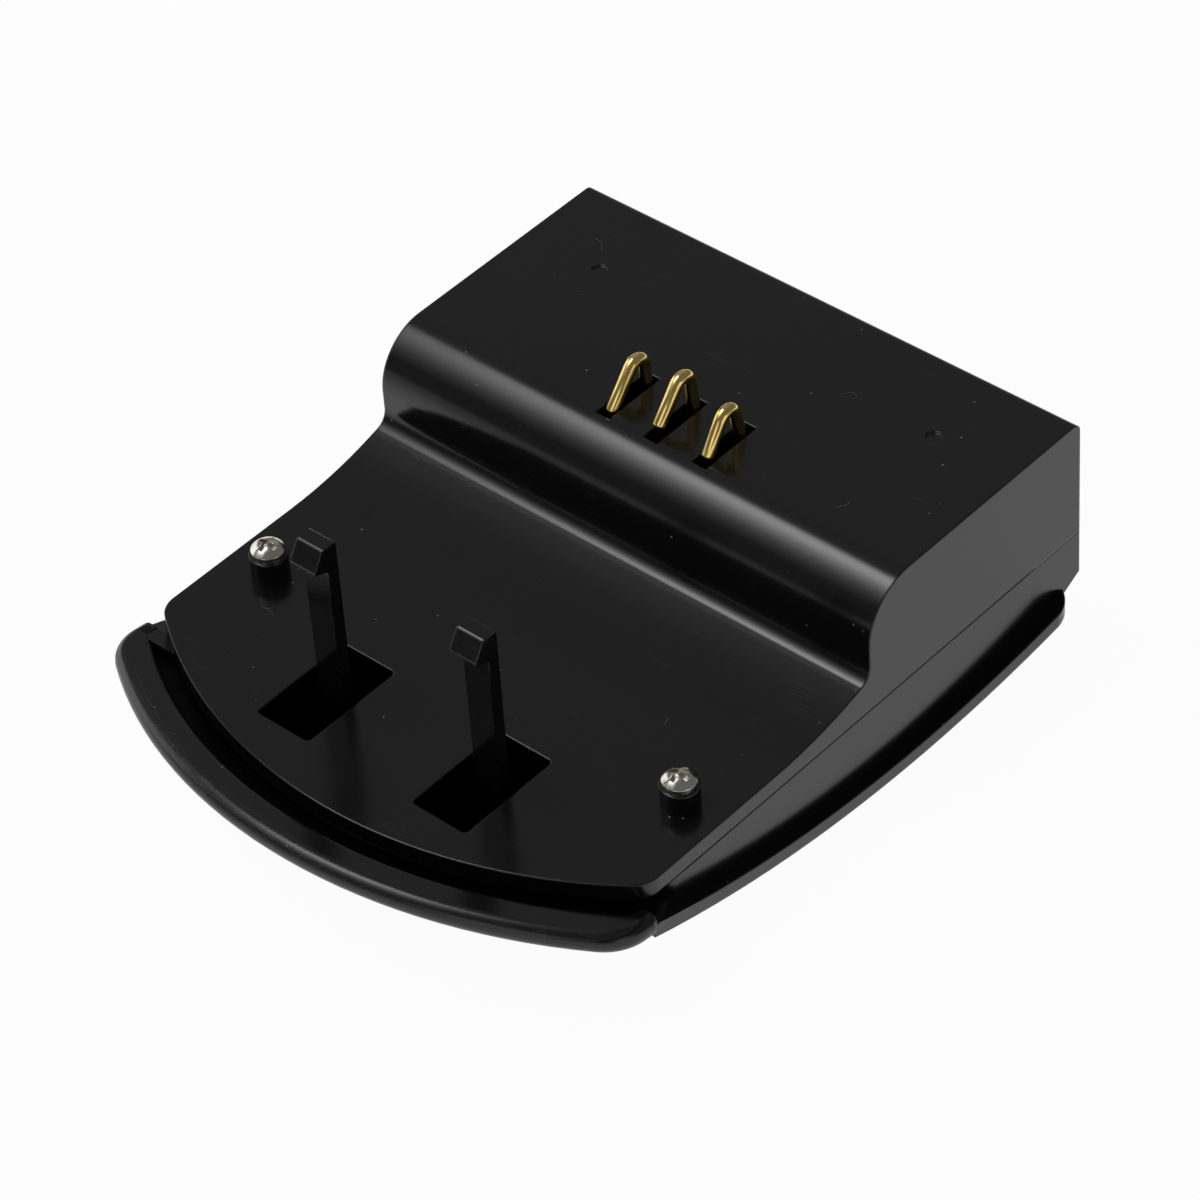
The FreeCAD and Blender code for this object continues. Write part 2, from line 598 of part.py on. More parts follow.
def make_base_shell():
    body = new_body("base_shell")
    outer = s.rim_radius / cosine(s.rim_tilt)

    band = grow(body, "rim_band",
                tilted_outline(body, "rim_outline", outer, s.rim_half, s.rim_corner, 0,
                               s.rim_thickness),
                s.rim_thickness, back=True)
    limit = s.rim_inner.value + s.rim_inner_round.value + 0.5
    centre = Vector(0, RIM_Y.value, s.rim_axis_height.value)
    normal = Vector(0, math.sin(math.radians(s.rim_tilt.value)),
                    math.cos(math.radians(s.rim_tilt.value)))

    def outside_edge(middle, edge):
        off = middle - centre
        level = abs(off.dot(normal)) < 0.01 or abs(off.dot(normal) + s.rim_thickness.value) < 0.01
        flat = off - normal * off.dot(normal)
        wide = flat.Length > limit or abs(flat.x) > s.rim_half.value - 1.6
        return level and wide and edge.Length > 1.0 and middle.y < RIM_END.value - 0.05

    nose = dress(body, "Fillet", "rim_nose_round", band,
                 edges_near(band.Shape, outside_edge), "Radius", s.rim_nose)

    def inside_edge(middle, edge):
        off = middle - centre
        level = abs(off.dot(normal)) < 0.01
        flat = off - normal * off.dot(normal)
        narrow = flat.Length < s.rim_inner.value + 0.01 and abs(flat.x) < s.rim_inner_half.value + 0.01
        return level and narrow and middle.y < RIM_END.value - 0.05

    dress(body, "Fillet", "rim_inner_round", nose,
          edges_near(nose.Shape, inside_edge), "Radius", s.rim_inner_round)
    root_deep = s.rim_root - s.rim_inner_round
    grow(body, "rim_root_band",
         tilted_outline(body, "rim_root_outline", s.rim_root_radius, s.rim_root_half,
                        s.rim_root_corner, s.rim_inner_round + 0.1, root_deep),
         root_deep, back=True)

    # flange strip: its side view, carried right across and trimmed to the bowed sides
    low_radius = s.arch_radius + s.flange
    end_y = BACK - s.flange_end_back
    strip = new_sketch(body, "flange_side", "YZ")
    draw(strip, [
        Corner(RIM_END, arch_height(low_radius, RIM_END), bow=(low_radius, 1)),
        Corner(end_y, arch_height(low_radius, end_y)),
        Corner(end_y, arch_height(s.arch_radius, end_y), bow=(s.arch_radius, -1)),
        Corner(RIM_END, arch_height(s.arch_radius, RIM_END)),
    ])
    grow(body, "flange_strip", strip, s.flange_back_half * 2 + 4, both=True)
    corner_y = BACK - s.flange_corner_back
    edge = new_sketch(body, "flange_edge", "XY", -1)
    far = s.flange_back_half + 10
    for sign in (1, -1):
        draw(edge, [
            Corner(s.flange_front_half * sign, RIM_END, bow=(s.flange_bow, -sign)),
            Corner(s.flange_back_half * sign, corner_y, bow=(s.flange_corner, sign)),
            Corner((s.flange_back_half - s.flange_corner) * sign, corner_y + s.flange_corner),
            Corner((s.flange_back_half - s.flange_corner) * sign, BACK + 5),
            Corner(far * sign, BACK + 5),
            Corner(far * sign, RIM_END),
        ])
    cut(body, "flange_trim", edge, s.block_top)

    # floor of the channel, walls, front tray and belly
    slab(body, "channel", bowed_corners(s.rim_root_half - 0.2, RIM_END + 0.6,
                                        s.rim_root_radius - 0.3, RIM_Y, s.rim_root_corner),
         s.channel_floor - s.flange, s.channel_floor)
    mid_radius = s.arch_radius + s.flange / 2
    wall_front = BACK - s.wall_front_back
    wall_end = BACK - s.arch_end_back
    sides = new_sketch(body, "wall_side", "YZ")
    draw(sides, [
        Corner(wall_front, arch_height(mid_radius, wall_front), bow=(mid_radius, 1)),
        Corner(wall_end, arch_height(mid_radius, wall_end)),
        Corner(BACK - s.back_chamfer_depth, s.back_bottom),
        Corner(BACK, s.back_chamfer_top),
        Corner(BACK, s.seam_height),
        Corner(wall_front, s.seam_height),
    ])
    grow(body, "walls", sides, s.shell_width, both=True)
    slab(body, "front_tray", bowed_corners(HALF, wall_front + 1, s.lower_radius, ARC_Y,
                                           s.lower_corner), s.tray_low, s.seam_height)
    belly_half = s.belly_width / 2
    belly_rear = BACK - s.belly_back
    slab(body, "belly", bowed_corners(belly_half, belly_rear, s.belly_radius, ARC_Y,
                                      s.belly_corner, s.belly_corner), 0, s.channel_floor - 1)
    hollow(body, "belly_room",
           bowed_corners(belly_half - s.floor, belly_rear - s.floor, s.belly_radius - s.floor,
                         ARC_Y, s.belly_corner - 1, s.belly_corner - 1),
           s.floor, s.seam_height + 1)
    room = new_sketch(body, "wall_room_side", "YZ")
    room_rear = BACK - s.wall
    draw(room, [
        Corner(wall_front, arch_height(s.arch_radius, wall_front), bow=(s.arch_radius, 1)),
        Corner(wall_end, arch_height(s.arch_radius, wall_end)),
        Corner(wall_end, s.rear_floor),
        Corner(room_rear, s.rear_floor),
        Corner(room_rear, s.seam_height + 1),
        Corner(wall_front, s.seam_height + 1),
    ])
    cut(body, "wall_room", room, INNER_HALF * 2, both=True)
    hollow(body, "front_room",
           bowed_corners(INNER_HALF, wall_front + 4, s.lower_radius - s.wall, ARC_Y, 0.6),
           s.tray_floor, s.seam_height + 1)
    make_base_inside(body)
    return body


def make_base_inside(body):
    """Bosses, slider track, board posts and the slots of the output contacts."""
    pad_y = BACK - s.pad_back
    for sign, word in ((1, "right"), (-1, "left")):
        x = s.front_screw_x * sign
        y = BACK - s.front_screw_back
        post(body, "front_boss_" + word, x, y, s.front_boss, s.front_boss_low, s.seam_height)
        bore(body, "front_pilot_" + word, x, y, s.pilot_radius, s.front_pilot_low,
             s.seam_height + 1)
        x = s.rear_screw_x * sign
        y = BACK - s.rear_screw_back
        post(body, "rear_tube_" + word, x, y, s.rear_tube, 1, s.rear_split)
        bore(body, "rear_hole_" + word, x, y, s.hole_radius, 1, s.rear_split + 1)
        bore(body, "rear_recess_" + word, x, y, s.rear_recess, -1, s.rear_seat)
        x = s.board_screw_x * sign
        y = BACK - s.board_screw_back
        slab(body, "board_boss_" + word, square(x, y, s.board_boss), 1, s.board_low)
        hollow(body, "board_pilot_" + word, ring_of(x, y, s.pilot_radius, 12), 1,
               s.board_low + 1)
        slab(body, "board_post_" + word, square(x, BACK - s.board_post_back, s.board_boss), 1,
             s.board_low)
        # slider track
        track_front = BAR_FRONT - s.guide
        track_rear = BACK - s.track_back
        guide_in = (s.bar_half + s.guide_clear) * sign
        guide_out = (s.bar_half + s.guide_clear + s.guide) * sign
        low_x, high_x = (guide_in, guide_out) if sign > 0 else (guide_out, guide_in)
        slab(body, "guide_" + word, box_corners(low_x, high_x, BAR_FRONT, track_rear), 1,
             BAR_TOP)
        for rail, rail_x in (("inner", s.rail_inner * sign), ("outer", s.rail_outer * sign)):
            slab(body, "rail_%s_%s" % (rail, word),
                 box_corners(rail_x - s.guide / 2, rail_x + s.guide / 2, BAR_FRONT, track_rear),
                 1, BAR_LOW)
        rib_y = BAR_REAR + s.spring_length
        rib_x = s.hook_spread * sign
        slab(body, "spring_rib_" + word,
             box_corners(rib_x - s.spring_rib_half, rib_x + s.spring_rib_half, rib_y,
                         rib_y + s.spring_rib), 1, BAR_TOP)
        spigot = new_sketch(body, "spring_spigot_circle_" + word, "XZ", -rib_y)
        circle(spigot, rib_x, SPRING_Z, s.spigot_radius)
        grow(body, "spring_spigot_" + word, spigot, s.spigot_length)
    slab(body, "front_stop",
         box_corners(-s.stop_half, s.stop_half, track_front, BAR_FRONT - s.stop_gap), 1,
         BAR_TOP)
    for step, word in ((-1, "left"), (0, "middle"), (1, "right")):
        x = s.pad_pitch * step
        half_x = s.pad_thick / 2 + s.pad_clear
        half_y = s.pad_long / 2 + s.pad_clear
        hollow(body, "output_slot_" + word,
               box_corners(x - half_x, x + half_x, pad_y - half_y, pad_y + half_y), -1,
               s.floor + 1)


# Slider with both hooks

def make_hook_slider():
    body = new_body("hook_slider")
    slab(body, "bar", box_corners(-s.bar_half, s.bar_half, BAR_FRONT, BAR_REAR, 0.5),
         BAR_LOW, BAR_TOP)
    rear = HOOK_Y + s.hook_depth / 2
    front = HOOK_Y - s.hook_depth / 2
    nose = front - s.hook_reach
    nose_z = s.hook_top - s.hook_nose_drop
    under_z = s.hook_top - s.hook_head
    for sign, word in ((1, "right"), (-1, "left")):
        side = new_sketch(body, "hook_side_" + word, "YZ", s.hook_spread * sign)
        draw(side, [
            Corner(rear, BAR_LOW + 1),
            Corner(rear, s.hook_top, 0.25),
            Corner(nose + s.hook_lead, s.hook_top, s.hook_round),
            Corner(nose, nose_z, 0.15),
            Corner(nose, nose_z - s.hook_tip, 0.1),
            Corner(front, under_z, 0.3),
            Corner(front, BAR_LOW + 1),
        ])
        grow(body, "hook_" + word, side, s.hook_width, both=True)
        spigot = new_sketch(body, "spigot_circle_" + word, "XZ", -BAR_REAR)
        circle(spigot, s.hook_spread * sign, SPRING_Z, s.spigot_radius)
        grow(body, "spigot_" + word, spigot, s.spigot_length, back=True)
    return body


def make_slider_spring(name, sign):
    """A coil of six-sided wire, laid round its axis in twelve straight steps a turn."""
    length, turns, radius, wire = [float(sheet.get(alias)) for alias in (
        "spring_length", "spring_turns", "spring_radius", "spring_wire")]
    count = int(round(turns * 12))
    start = Vector((s.hook_spread * sign).value, BAR_REAR.value, SPRING_Z.value)
    rings = []
    for index in range(count + 1):
        turn = 2 * math.pi * index / 12
        out = Vector(math.sin(turn), 0, math.cos(turn))
        along = wire + (length - 2 * wire) * index / count
        middle = start + out * radius + Vector(0, along, 0)
        ring = []
        for side in range(6):
            angle = math.pi * side / 3
            ring.append(middle + out * (wire * math.cos(angle)) +
                        Vector(0, wire * math.sin(angle), 0))
        rings.append(ring)
    faces = [Part.Face(Part.makePolygon(ring + ring[:1])) for ring in (rings[0], rings[-1])]
    for ring, after in zip(rings, rings[1:]):
        for side in range(6):
            near = (side + 1) % 6
            for corners in ((ring[side], ring[near], after[near]),
                            (ring[side], after[near], after[side])):
                faces.append(Part.Face(Part.makePolygon(list(corners) + [corners[0]])))
    shape = Part.Solid(Part.Shell(faces))
    if shape.Volume < 0:
        shape.reverse()
    item = doc.addObject("Part::Feature", name)
    item.Label = name
    item.Shape = shape
    return item


# Wire contacts: front leg, peak, rear leg, arm, coil round the pin, tail

def make_contact(name, step, end_z, peak_back, peak_z):
    body = new_body(name)
    x = s.contact_pitch * step
    arm_z = s.pin_height + EYE
    leg_y = BACK - s.leg_back
    path = new_sketch(body, name + "_path", "YZ", x)
    tail_y = PIN_Y + EYE
    draw(path, [
        Corner(BACK - s.wire_end_back, end_z),
        Corner(BACK - peak_back, peak_z, s.peak_bend),
        Corner(leg_y, arm_z, s.leg_bend),
        Corner(PIN_Y, arm_z, bow=(EYE, -1)),
        Corner(tail_y, s.pin_height),
        Corner(tail_y, s.tail_end),
    ], closed=False)
    section = new_sketch(body, name + "_section", "XY", s.tail_end)
    draw(section, ring_of(x, tail_y, s.wire_radius, 10))
    finish_sketch(section)
    wire = body.newObject("PartDesign::AdditivePipe", name + "_wire")
    wire.Profile = section
    wire.Spine = path
    doc.recompute()
    coils = new_sketch(body, name + "_turns", "XY", s.pin_height)
    axis_line(coils, x - 3, PIN_Y, 6, 0)
    for side in (-1, 1):
        draw(coils, ring_of(x + s.coil_step * side, PIN_Y + EYE, s.wire_radius, 8))
    spin(body, name + "_coil", coils)
    return body


def make_contact_pin():
    body = new_body("contact_pin")
    section = new_sketch(body, "pin_circle", "YZ")
    circle(section, PIN_Y, s.pin_height, s.pin_radius)
    grow(body, "pin_rod", section, s.pin_half * 2, both=True)
    return body


def make_contact_carrier():
    body = new_body("contact_carrier")
    front = BACK - s.upright_front_back
    rear = BACK - s.upright_rear_back
    plate_top = s.carrier_low + s.carrier_plate
    slab(body, "carrier_base",
         box_corners(-s.carrier_half, s.carrier_half, front, BACK - s.carrier_rear_back, 1.0),
         s.carrier_low, plate_top)
    for sign in (-1, 1):
        for kind, offset, thick in (("inner", s.upright_inner, s.upright_inner_thick),
                                    ("outer", s.upright_outer, s.upright_outer_thick)):
            word = "%s_%s" % (kind, "right" if sign > 0 else "left")
            side = new_sketch(body, "upright_side_" + word, "YZ", offset * sign)
            draw(side, box_corners(front, rear, s.carrier_low, s.upright_top))
            grow(body, "upright_" + word, side, thick, both=True)
        hollow(body, "carrier_hole_%d" % sign,
               ring_of(s.boss_spread * sign, BACK - s.boss_back, s.hole_radius, 12),
               s.carrier_low - 1, plate_top + 1)
    slot = new_sketch(body, "carrier_pin_side", "YZ")
    fit = s.pin_radius + s.pin_clear / 2
    draw(slot, box_corners(PIN_Y - fit, PIN_Y + fit, s.pin_height - fit, s.upright_top + 1))
    cut(body, "carrier_pin_slot", slot, s.pin_half * 2 + 2, both=True)
    return body


def make_lead(name, step):
    body = new_body(name)
    x = s.contact_pitch * step
    tail_y = PIN_Y + EYE
    board_y = BACK - s.lead_board_back
    path = new_sketch(body, name + "_path", "YZ", x)
    draw(path, [
        Corner(tail_y, s.tail_end),
        Corner(tail_y, s.lead_run, s.lead_bend),
        Corner(board_y, s.lead_run, 0.6),
        Corner(board_y, BOARD_TOP),
    ], closed=False)
    section = new_sketch(body, name + "_section", "XY", s.tail_end)
    draw(section, ring_of(x, tail_y, s.lead_radius, 6))
    finish_sketch(section)
    wire = body.newObject("PartDesign::AdditivePipe", name + "_wire")
    wire.Profile = section
    wire.Spine = path
    doc.recompute()
    return body


# Screws

def cross_recess(body, name, x, y, top, direction):
    cross = new_sketch(body, name + "_cross", "XY", top)
    a = s.recess_width / 2
    b = s.recess_reach
    draw(cross, [Corner(x + p, y + q) for p, q in (
        (a, -b), (a, -a), (b, -a), (b, a), (a, a), (a, b),
        (-a, b), (-a, a), (-b, a), (-b, -a), (-a, -a), (-a, -b))])
    cut(body, name + "_recess", cross, s.recess_depth, ahead=direction < 0)


def make_small_screws(name, x, back, seat, direction, length):
    """Two flat-headed screws, hidden inside, with twelve sides; direction +1 is head up."""
    body = new_body(name + "_one")
    y = BACK - back
    if direction > 0:
        slab(body, name + "_shank", ring_of(x, y, s.shank_radius, 12), seat - length, seat)
        slab(body, name + "_head", ring_of(x, y, s.head_radius, 12), seat,
             seat + s.head_height)
    else:
        slab(body, name + "_shank", ring_of(x, y, s.shank_radius, 12), seat, seat + length)
        slab(body, name + "_head", ring_of(x, y, s.head_radius, 12), seat - s.head_height, seat)
    cross_recess(body, name, x, y, seat + s.head_height * direction, direction)
    return pair(name, body)


def make_screws(name, x, back, seat, direction, length):
    """Two pan-head screws with a cross recess; direction +1 has the head above the seat."""
    body = new_body(name + "_one")
    y = BACK - back
    side = new_sketch(body, name + "_half", "XZ", -y)
    up = Size.of(direction)
    axis_line(side, x, seat - up * length, 0, up * length)
    top = seat + up * s.head_height
    edge = seat + up * s.head_edge
    dome = (s.head_height - s.head_edge) * (s.head_height - s.head_edge)
    bulge = (s.head_radius * s.head_radius + dome) / ((s.head_height - s.head_edge) * 2)
    draw(side, [
        Corner(x, seat - up * length),
        Corner(x + s.shank_radius, seat - up * length + up * s.tip),
        Corner(x + s.shank_radius, seat),
        Corner(x + s.head_radius, seat),
        Corner(x + s.head_radius, edge, bow=(bulge * 1.02, direction)),
        Corner(x, top),
    ])
    spin(body, name + "_turned", side)
    cross_recess(body, name, x, y, top, direction)
    return pair(name, body)


# Board and what is on it

def make_box(name, x, y, z, long, wide, high):
    """A plain block, centred on (x, y), standing at z."""
    block = doc.addObject("Part::Box", name)
    block.Label = name
    for prop, size in (("Length", long), ("Width", wide), ("Height", high)):
        bind(block, prop, size)
    bind(block, "Placement.Base.x", Size.of(x) - Size.of(long) / 2)
    bind(block, "Placement.Base.y", Size.of(y) - Size.of(wide) / 2)
    bind(block, "Placement.Base.z", z)
    return block


def group(name, items):
    both = doc.addObject("Part::Compound", name)
    both.Links = items
    both.Label = name
    doc.recompute()
    return both


def make_board():
    body = new_body("circuit_board")
    front = BACK - s.board_front_back
    rear = BACK - s.board_rear_back
    slab(body, "board_plate", box_corners(-s.board_half, s.board_half, front, rear, 0.8),
         s.board_low, BOARD_TOP)
    for sign in (-1, 1):
        hollow(body, "board_hole_%d" % sign,
               ring_of(s.board_screw_x * sign, BACK - s.board_screw_back, s.hole_radius, 12),
               s.board_low - 1, BOARD_TOP + 1)
    return body


def make_parts_on_board():
    chip = make_box("control_chip", -6, BACK - 30, BOARD_TOP, s.chip_wide, s.chip_long,
                    s.chip_high)
    capacitors = []
    for index, sign in enumerate((-1, 1)):
        can = doc.addObject("Part::Cylinder", "capacitor_%d" % index)
        bind(can, "Radius", s.capacitor_radius)
        bind(can, "Height", s.capacitor_high)
        bind(can, "Placement.Base.x", s.capacitor_spread + 4.2 * sign)
        bind(can, "Placement.Base.y", BACK - 30 + 1.5 * Size.of(sign))
        bind(can, "Placement.Base.z", BOARD_TOP)
        capacitors.append(can)
    resistors = []
    for index in range(4):
        resistors.append(make_box("resistor_%d" % index, -14.5, BACK - 34 + 3.2 * index,
                                  BOARD_TOP, s.resistor_long, s.resistor_wide,
                                  s.resistor_high))
    diode = make_box("chip_diode", -12.5, BACK - 21.5, BOARD_TOP, s.diode_long, s.diode_wide,
                     s.diode_high)
    nodes = [chip, group("filter_capacitors", capacitors), group("chip_resistors", resistors),
             diode]
    blades = []
    for index, step in enumerate((-1, 0, 1)):
        blades.append(make_box("blade_%d" % index, s.pad_pitch * step, BACK - s.pad_back,
                               s.pad_inset, s.pad_thick, s.pad_long,
                               s.board_low - s.pad_inset))
    nodes.append(group("output_contacts", blades))
    return nodes


# All pieces

nodes = [
    make_upper_shell(),
    make_base_shell(),
    make_hook_slider(),
    make_slider_spring("slider_spring_left", -1),
    make_slider_spring("slider_spring_right", 1),
    make_contact("contact_left", -1, s.left_end_height, s.left_peak_back, s.left_peak_height),
    make_contact("contact_middle", 0, s.middle_end_height, s.middle_peak_back,
                 s.middle_peak_height),
    make_contact("contact_right", 1, s.right_end_height, s.right_peak_back,
                 s.right_peak_height),
    make_contact_pin(),
    make_contact_carrier(),
    make_board(),
    make_lead("lead_left", -1),
    make_lead("lead_middle", 0),
    make_lead("lead_right", 1),
    make_screws("front_screws", s.front_screw_x, s.front_screw_back,
                DECK_TOP + s.collar_height, 1, 7.5),
    make_small_screws("rear_screws", s.rear_screw_x, s.rear_screw_back, s.rear_seat, -1, 11),
    make_small_screws("carrier_screws", s.boss_spread, s.boss_back, s.carrier_low, -1, 6),
    make_small_screws("board_screws", s.board_screw_x, s.board_screw_back, BOARD_TOP, 1, 3.6),
]
nodes.extend(make_parts_on_board())
doc.recompute()

# Checks and export

for item in doc.Objects:
    if "Invalid" in item.State or "Error" in item.State:
        raise RuntimeError("feature %s does not build" % item.Name)
os.makedirs("parts", exist_ok=True)
for node in nodes:
    if node.Shape.isNull() or not node.Shape.isValid():
        raise RuntimeError("piece %s has no valid shape" % node.Label)
    node.Shape.exportStep("parts/%s.step" % node.Label)
    box = node.Shape.BoundBox
    print("%-20s solids %d volume %9.2f  x %.2f %.2f  y %.2f %.2f  z %.2f %.2f" % (
        node.Label, len(node.Shape.Solids), node.Shape.Volume, box.XMin, box.XMax,
        box.YMin, box.YMax, box.ZMin, box.ZMax))
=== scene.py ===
"""Looks of a charger's battery cradle, as an add-on that runs as a script.

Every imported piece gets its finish. The wire contacts and the slider's springs are drawn round
and smooth, a small web closes one end of the channel, and a few fibres lie on the shells."""

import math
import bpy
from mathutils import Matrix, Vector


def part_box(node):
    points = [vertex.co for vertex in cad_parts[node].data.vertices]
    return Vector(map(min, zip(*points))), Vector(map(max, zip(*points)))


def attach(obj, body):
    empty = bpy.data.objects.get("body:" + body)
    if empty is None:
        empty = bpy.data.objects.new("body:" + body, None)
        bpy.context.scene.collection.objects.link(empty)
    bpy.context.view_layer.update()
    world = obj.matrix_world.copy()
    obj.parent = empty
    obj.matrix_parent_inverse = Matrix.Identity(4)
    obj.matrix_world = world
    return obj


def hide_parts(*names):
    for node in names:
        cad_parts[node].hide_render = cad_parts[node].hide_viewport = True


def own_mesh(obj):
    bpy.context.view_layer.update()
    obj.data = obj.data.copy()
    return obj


bl_info = {
    "name": "Battery cradle looks",
    "version": (1, 0, 0),
    "blender": (4, 5, 0),
    "location": "View3D > Sidebar > Cradle",
    "description": "Moulded, plated and wire finishes of a charger's battery cradle",
    "category": "Object",
}

import bpy
import numpy as np
from mathutils import Matrix

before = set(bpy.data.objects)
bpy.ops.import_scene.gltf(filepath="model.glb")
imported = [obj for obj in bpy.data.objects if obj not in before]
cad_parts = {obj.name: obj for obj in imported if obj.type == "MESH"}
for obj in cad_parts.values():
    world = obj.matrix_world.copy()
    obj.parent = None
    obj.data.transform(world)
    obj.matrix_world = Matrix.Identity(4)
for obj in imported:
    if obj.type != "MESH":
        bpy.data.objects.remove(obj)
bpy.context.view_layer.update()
MM = 0.001

DECK_TOP = 12.6 * MM
BLOCK_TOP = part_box("upper_shell")[1][2]
MIDDLE = 15.0 * MM
SEAM = 10.7 * MM
WALL_HALF = 31.0 * MM
FLOOR_GAP = 0.02 * MM

# in plan the deck's front edge and the rim are arcs about (0, centre), and the rim's nose
# begins over a short way from the first to the second radius
DECK_CENTRE = 16.05 * MM
DECK_RADIUS = 50.6 * MM
RIM_CENTRE = 12.06 * MM
RIM_INNER = 49.2 * MM
RIM_INNER_HALF = 30.6 * MM
RIM_SLOPE = math.radians(7.8)
RIM_START = -24.0 * MM
NOSE = (51.3 * MM, 51.9 * MM)
NOSE_HALF = (31.6 * MM, 32.3 * MM)
# radii of two thin light lines on the rim: painted highlights along its creases
RIM_CREASE_HIGHLIGHTS = (51.36 * MM, 50.95 * MM)

# the room inside the shells, whose front is an arc about the deck's centre, and the well in
# # the base's belly: where the shells get painted shade, dead black
ROOM_HALF = 29.2 * MM
ROOM_FRONT = 46.7 * MM
ROOM_BACK = 38.5 * MM
ROOM_FLOOR = 6.9 * MM
BASE_ROOM_TOP = 10.9 * MM
UPPER_ROOM_TOP = 12.3 * MM
WELL_HALF = 25.3 * MM
WELL_FRONT = 42.4 * MM
WELL_FLOOR = 1.7 * MM

# the middle of the collar under the right-hand deck screw, its radius and its top
COLLAR = (26.2 * MM, -13.75 * MM)
COLLAR_RADIUS = 2.41 * MM
COLLAR_TOP = 13.4 * MM

# the slider's springs: the wire's radius and the number of turns
SPRING_WIRE = 0.25 * MM
SPRING_TURNS = 6

# the wire contacts: lengths along Y are from the pin's middle
WIRE = 0.7 * MM
COIL = 1.55 * MM
COIL_STEP = 1.2 * MM
CONTACT_PITCH = 6.1 * MM
END_AHEAD = -18.4 * MM
LEG_AHEAD = -13.0 * MM
PEAK_BEND = 1.1 * MM
LEG_BEND = 1.2 * MM
TAIL_END = 10.0 * MM
# side, place in the row, height of the front end, then the peak's place along Y and height
CONTACTS = (("left", -1, 24.0 * MM, -13.65 * MM, 29.6 * MM),
            ("middle", 0, 25.3 * MM, -13.95 * MM, 30.6 * MM),
            ("right", 1, 24.6 * MM, -14.85 * MM, 30.05 * MM))

# the soft box in shares of the key light: lowest and highest angle forward of upright, and
# width, in degrees; the parts lie in each other, so it fades towards its border
SOFT_BOX = ((-4.0, 51.0, 44.0, 0.03), (-3.5, 43.0, 36.0, 0.05), (-3.0, 35.0, 29.0, 0.09),
            (-2.5, 27.0, 23.0, 0.19), (-2.0, 19.0, 19.0, 0.26), (-1.0, 13.0, 16.0, 0.24),
            (2.0, 9.0, 14.0, 0.14))
SOFT_BOX_TURN = 24.0

# the camera, fitted to the corners of the block and the deck
CAMERA = Matrix(((0.7523, -0.4081, 0.5171, 0.2647), (0.6564, 0.5298, -0.5370, -0.27015),
                 (-0.0548, 0.7434, 0.6666, 0.3512), (0, 0, 0, 1)))


# Settings

class CradleFinishes(bpy.types.PropertyGroup):
    """Colours and gloss of the cradle's materials."""

    shell_colour: bpy.props.FloatVectorProperty(
        name="Shell colour", description="Colour of the moulded black shells",
        default=(0.0036, 0.0036, 0.0040), size=3, subtype="COLOR", min=0, max=1)
    shell_roughness: bpy.props.FloatProperty(
        name="Shell roughness", description="How much the shells blur what they mirror",
        default=0.18, subtype="FACTOR", min=0, max=1)
    hook_colour: bpy.props.FloatVectorProperty(
        name="Hook colour", description="Colour of the hooks and their slider",
        default=(0.0040, 0.0040, 0.0044), size=3, subtype="COLOR", min=0, max=1)
    dust_colour: bpy.props.FloatVectorProperty(
        name="Dust colour", description="Colour of dust specks and lint",
        default=(0.32, 0.31, 0.29), size=3, subtype="COLOR", min=0, max=1)
    scuff_colour: bpy.props.FloatVectorProperty(
        name="Scuff colour", description="Colour of rubbed plastic on the rim",
        default=(0.060, 0.060, 0.062), size=3, subtype="COLOR", min=0, max=1)
    gold_colour: bpy.props.FloatVectorProperty(
        name="Gold colour", description="Colour of the plated contacts",
        default=(1.0, 0.74, 0.27), size=3, subtype="COLOR", min=0, max=1)
    nickel_colour: bpy.props.FloatVectorProperty(
        name="Nickel colour", description="Colour of the plated screws",
        default=(0.80, 0.77, 0.70), size=3, subtype="COLOR", min=0, max=1)
    lint_count: bpy.props.IntProperty(
        name="Lint", description="Number of fibres lying on the shells", default=7, min=0,
        max=60)
    lint_radius: bpy.props.FloatProperty(
        name="Lint radius", description="Radius of a fibre", default=0.000014, unit="LENGTH",
        min=0.000005, max=0.0001, precision=6)


class CradleStage(bpy.types.PropertyGroup):
    """Camera, floor and light."""

    focal_length: bpy.props.FloatProperty(
        name="Focal length", description="Camera's focal length in mm on a 36 mm sensor",
        default=158.6, subtype="NONE", min=10, max=500)
    floor_size: bpy.props.FloatProperty(
        name="Floor size", description="Length of the floor's sides", default=6.0,
        unit="LENGTH", min=0.5, max=20)
    sky: bpy.props.FloatProperty(
        name="Sky", description="Strength of the light from all round", default=0.14, min=0,
        max=5)
    back: bpy.props.FloatProperty(
        name="Back light", description="Radiance of the wide dim light above the back",
        default=0.10, min=0, max=200)
    key: bpy.props.FloatProperty(
        name="Key light", description="Radiance of the soft box in its middle", default=6.4,
        min=0, max=200)
    card: bpy.props.FloatProperty(
        name="Side cards", description="Radiance of the white cards low on both sides",
        default=1.1, min=0, max=200)


# Shader maths: expressions on sockets

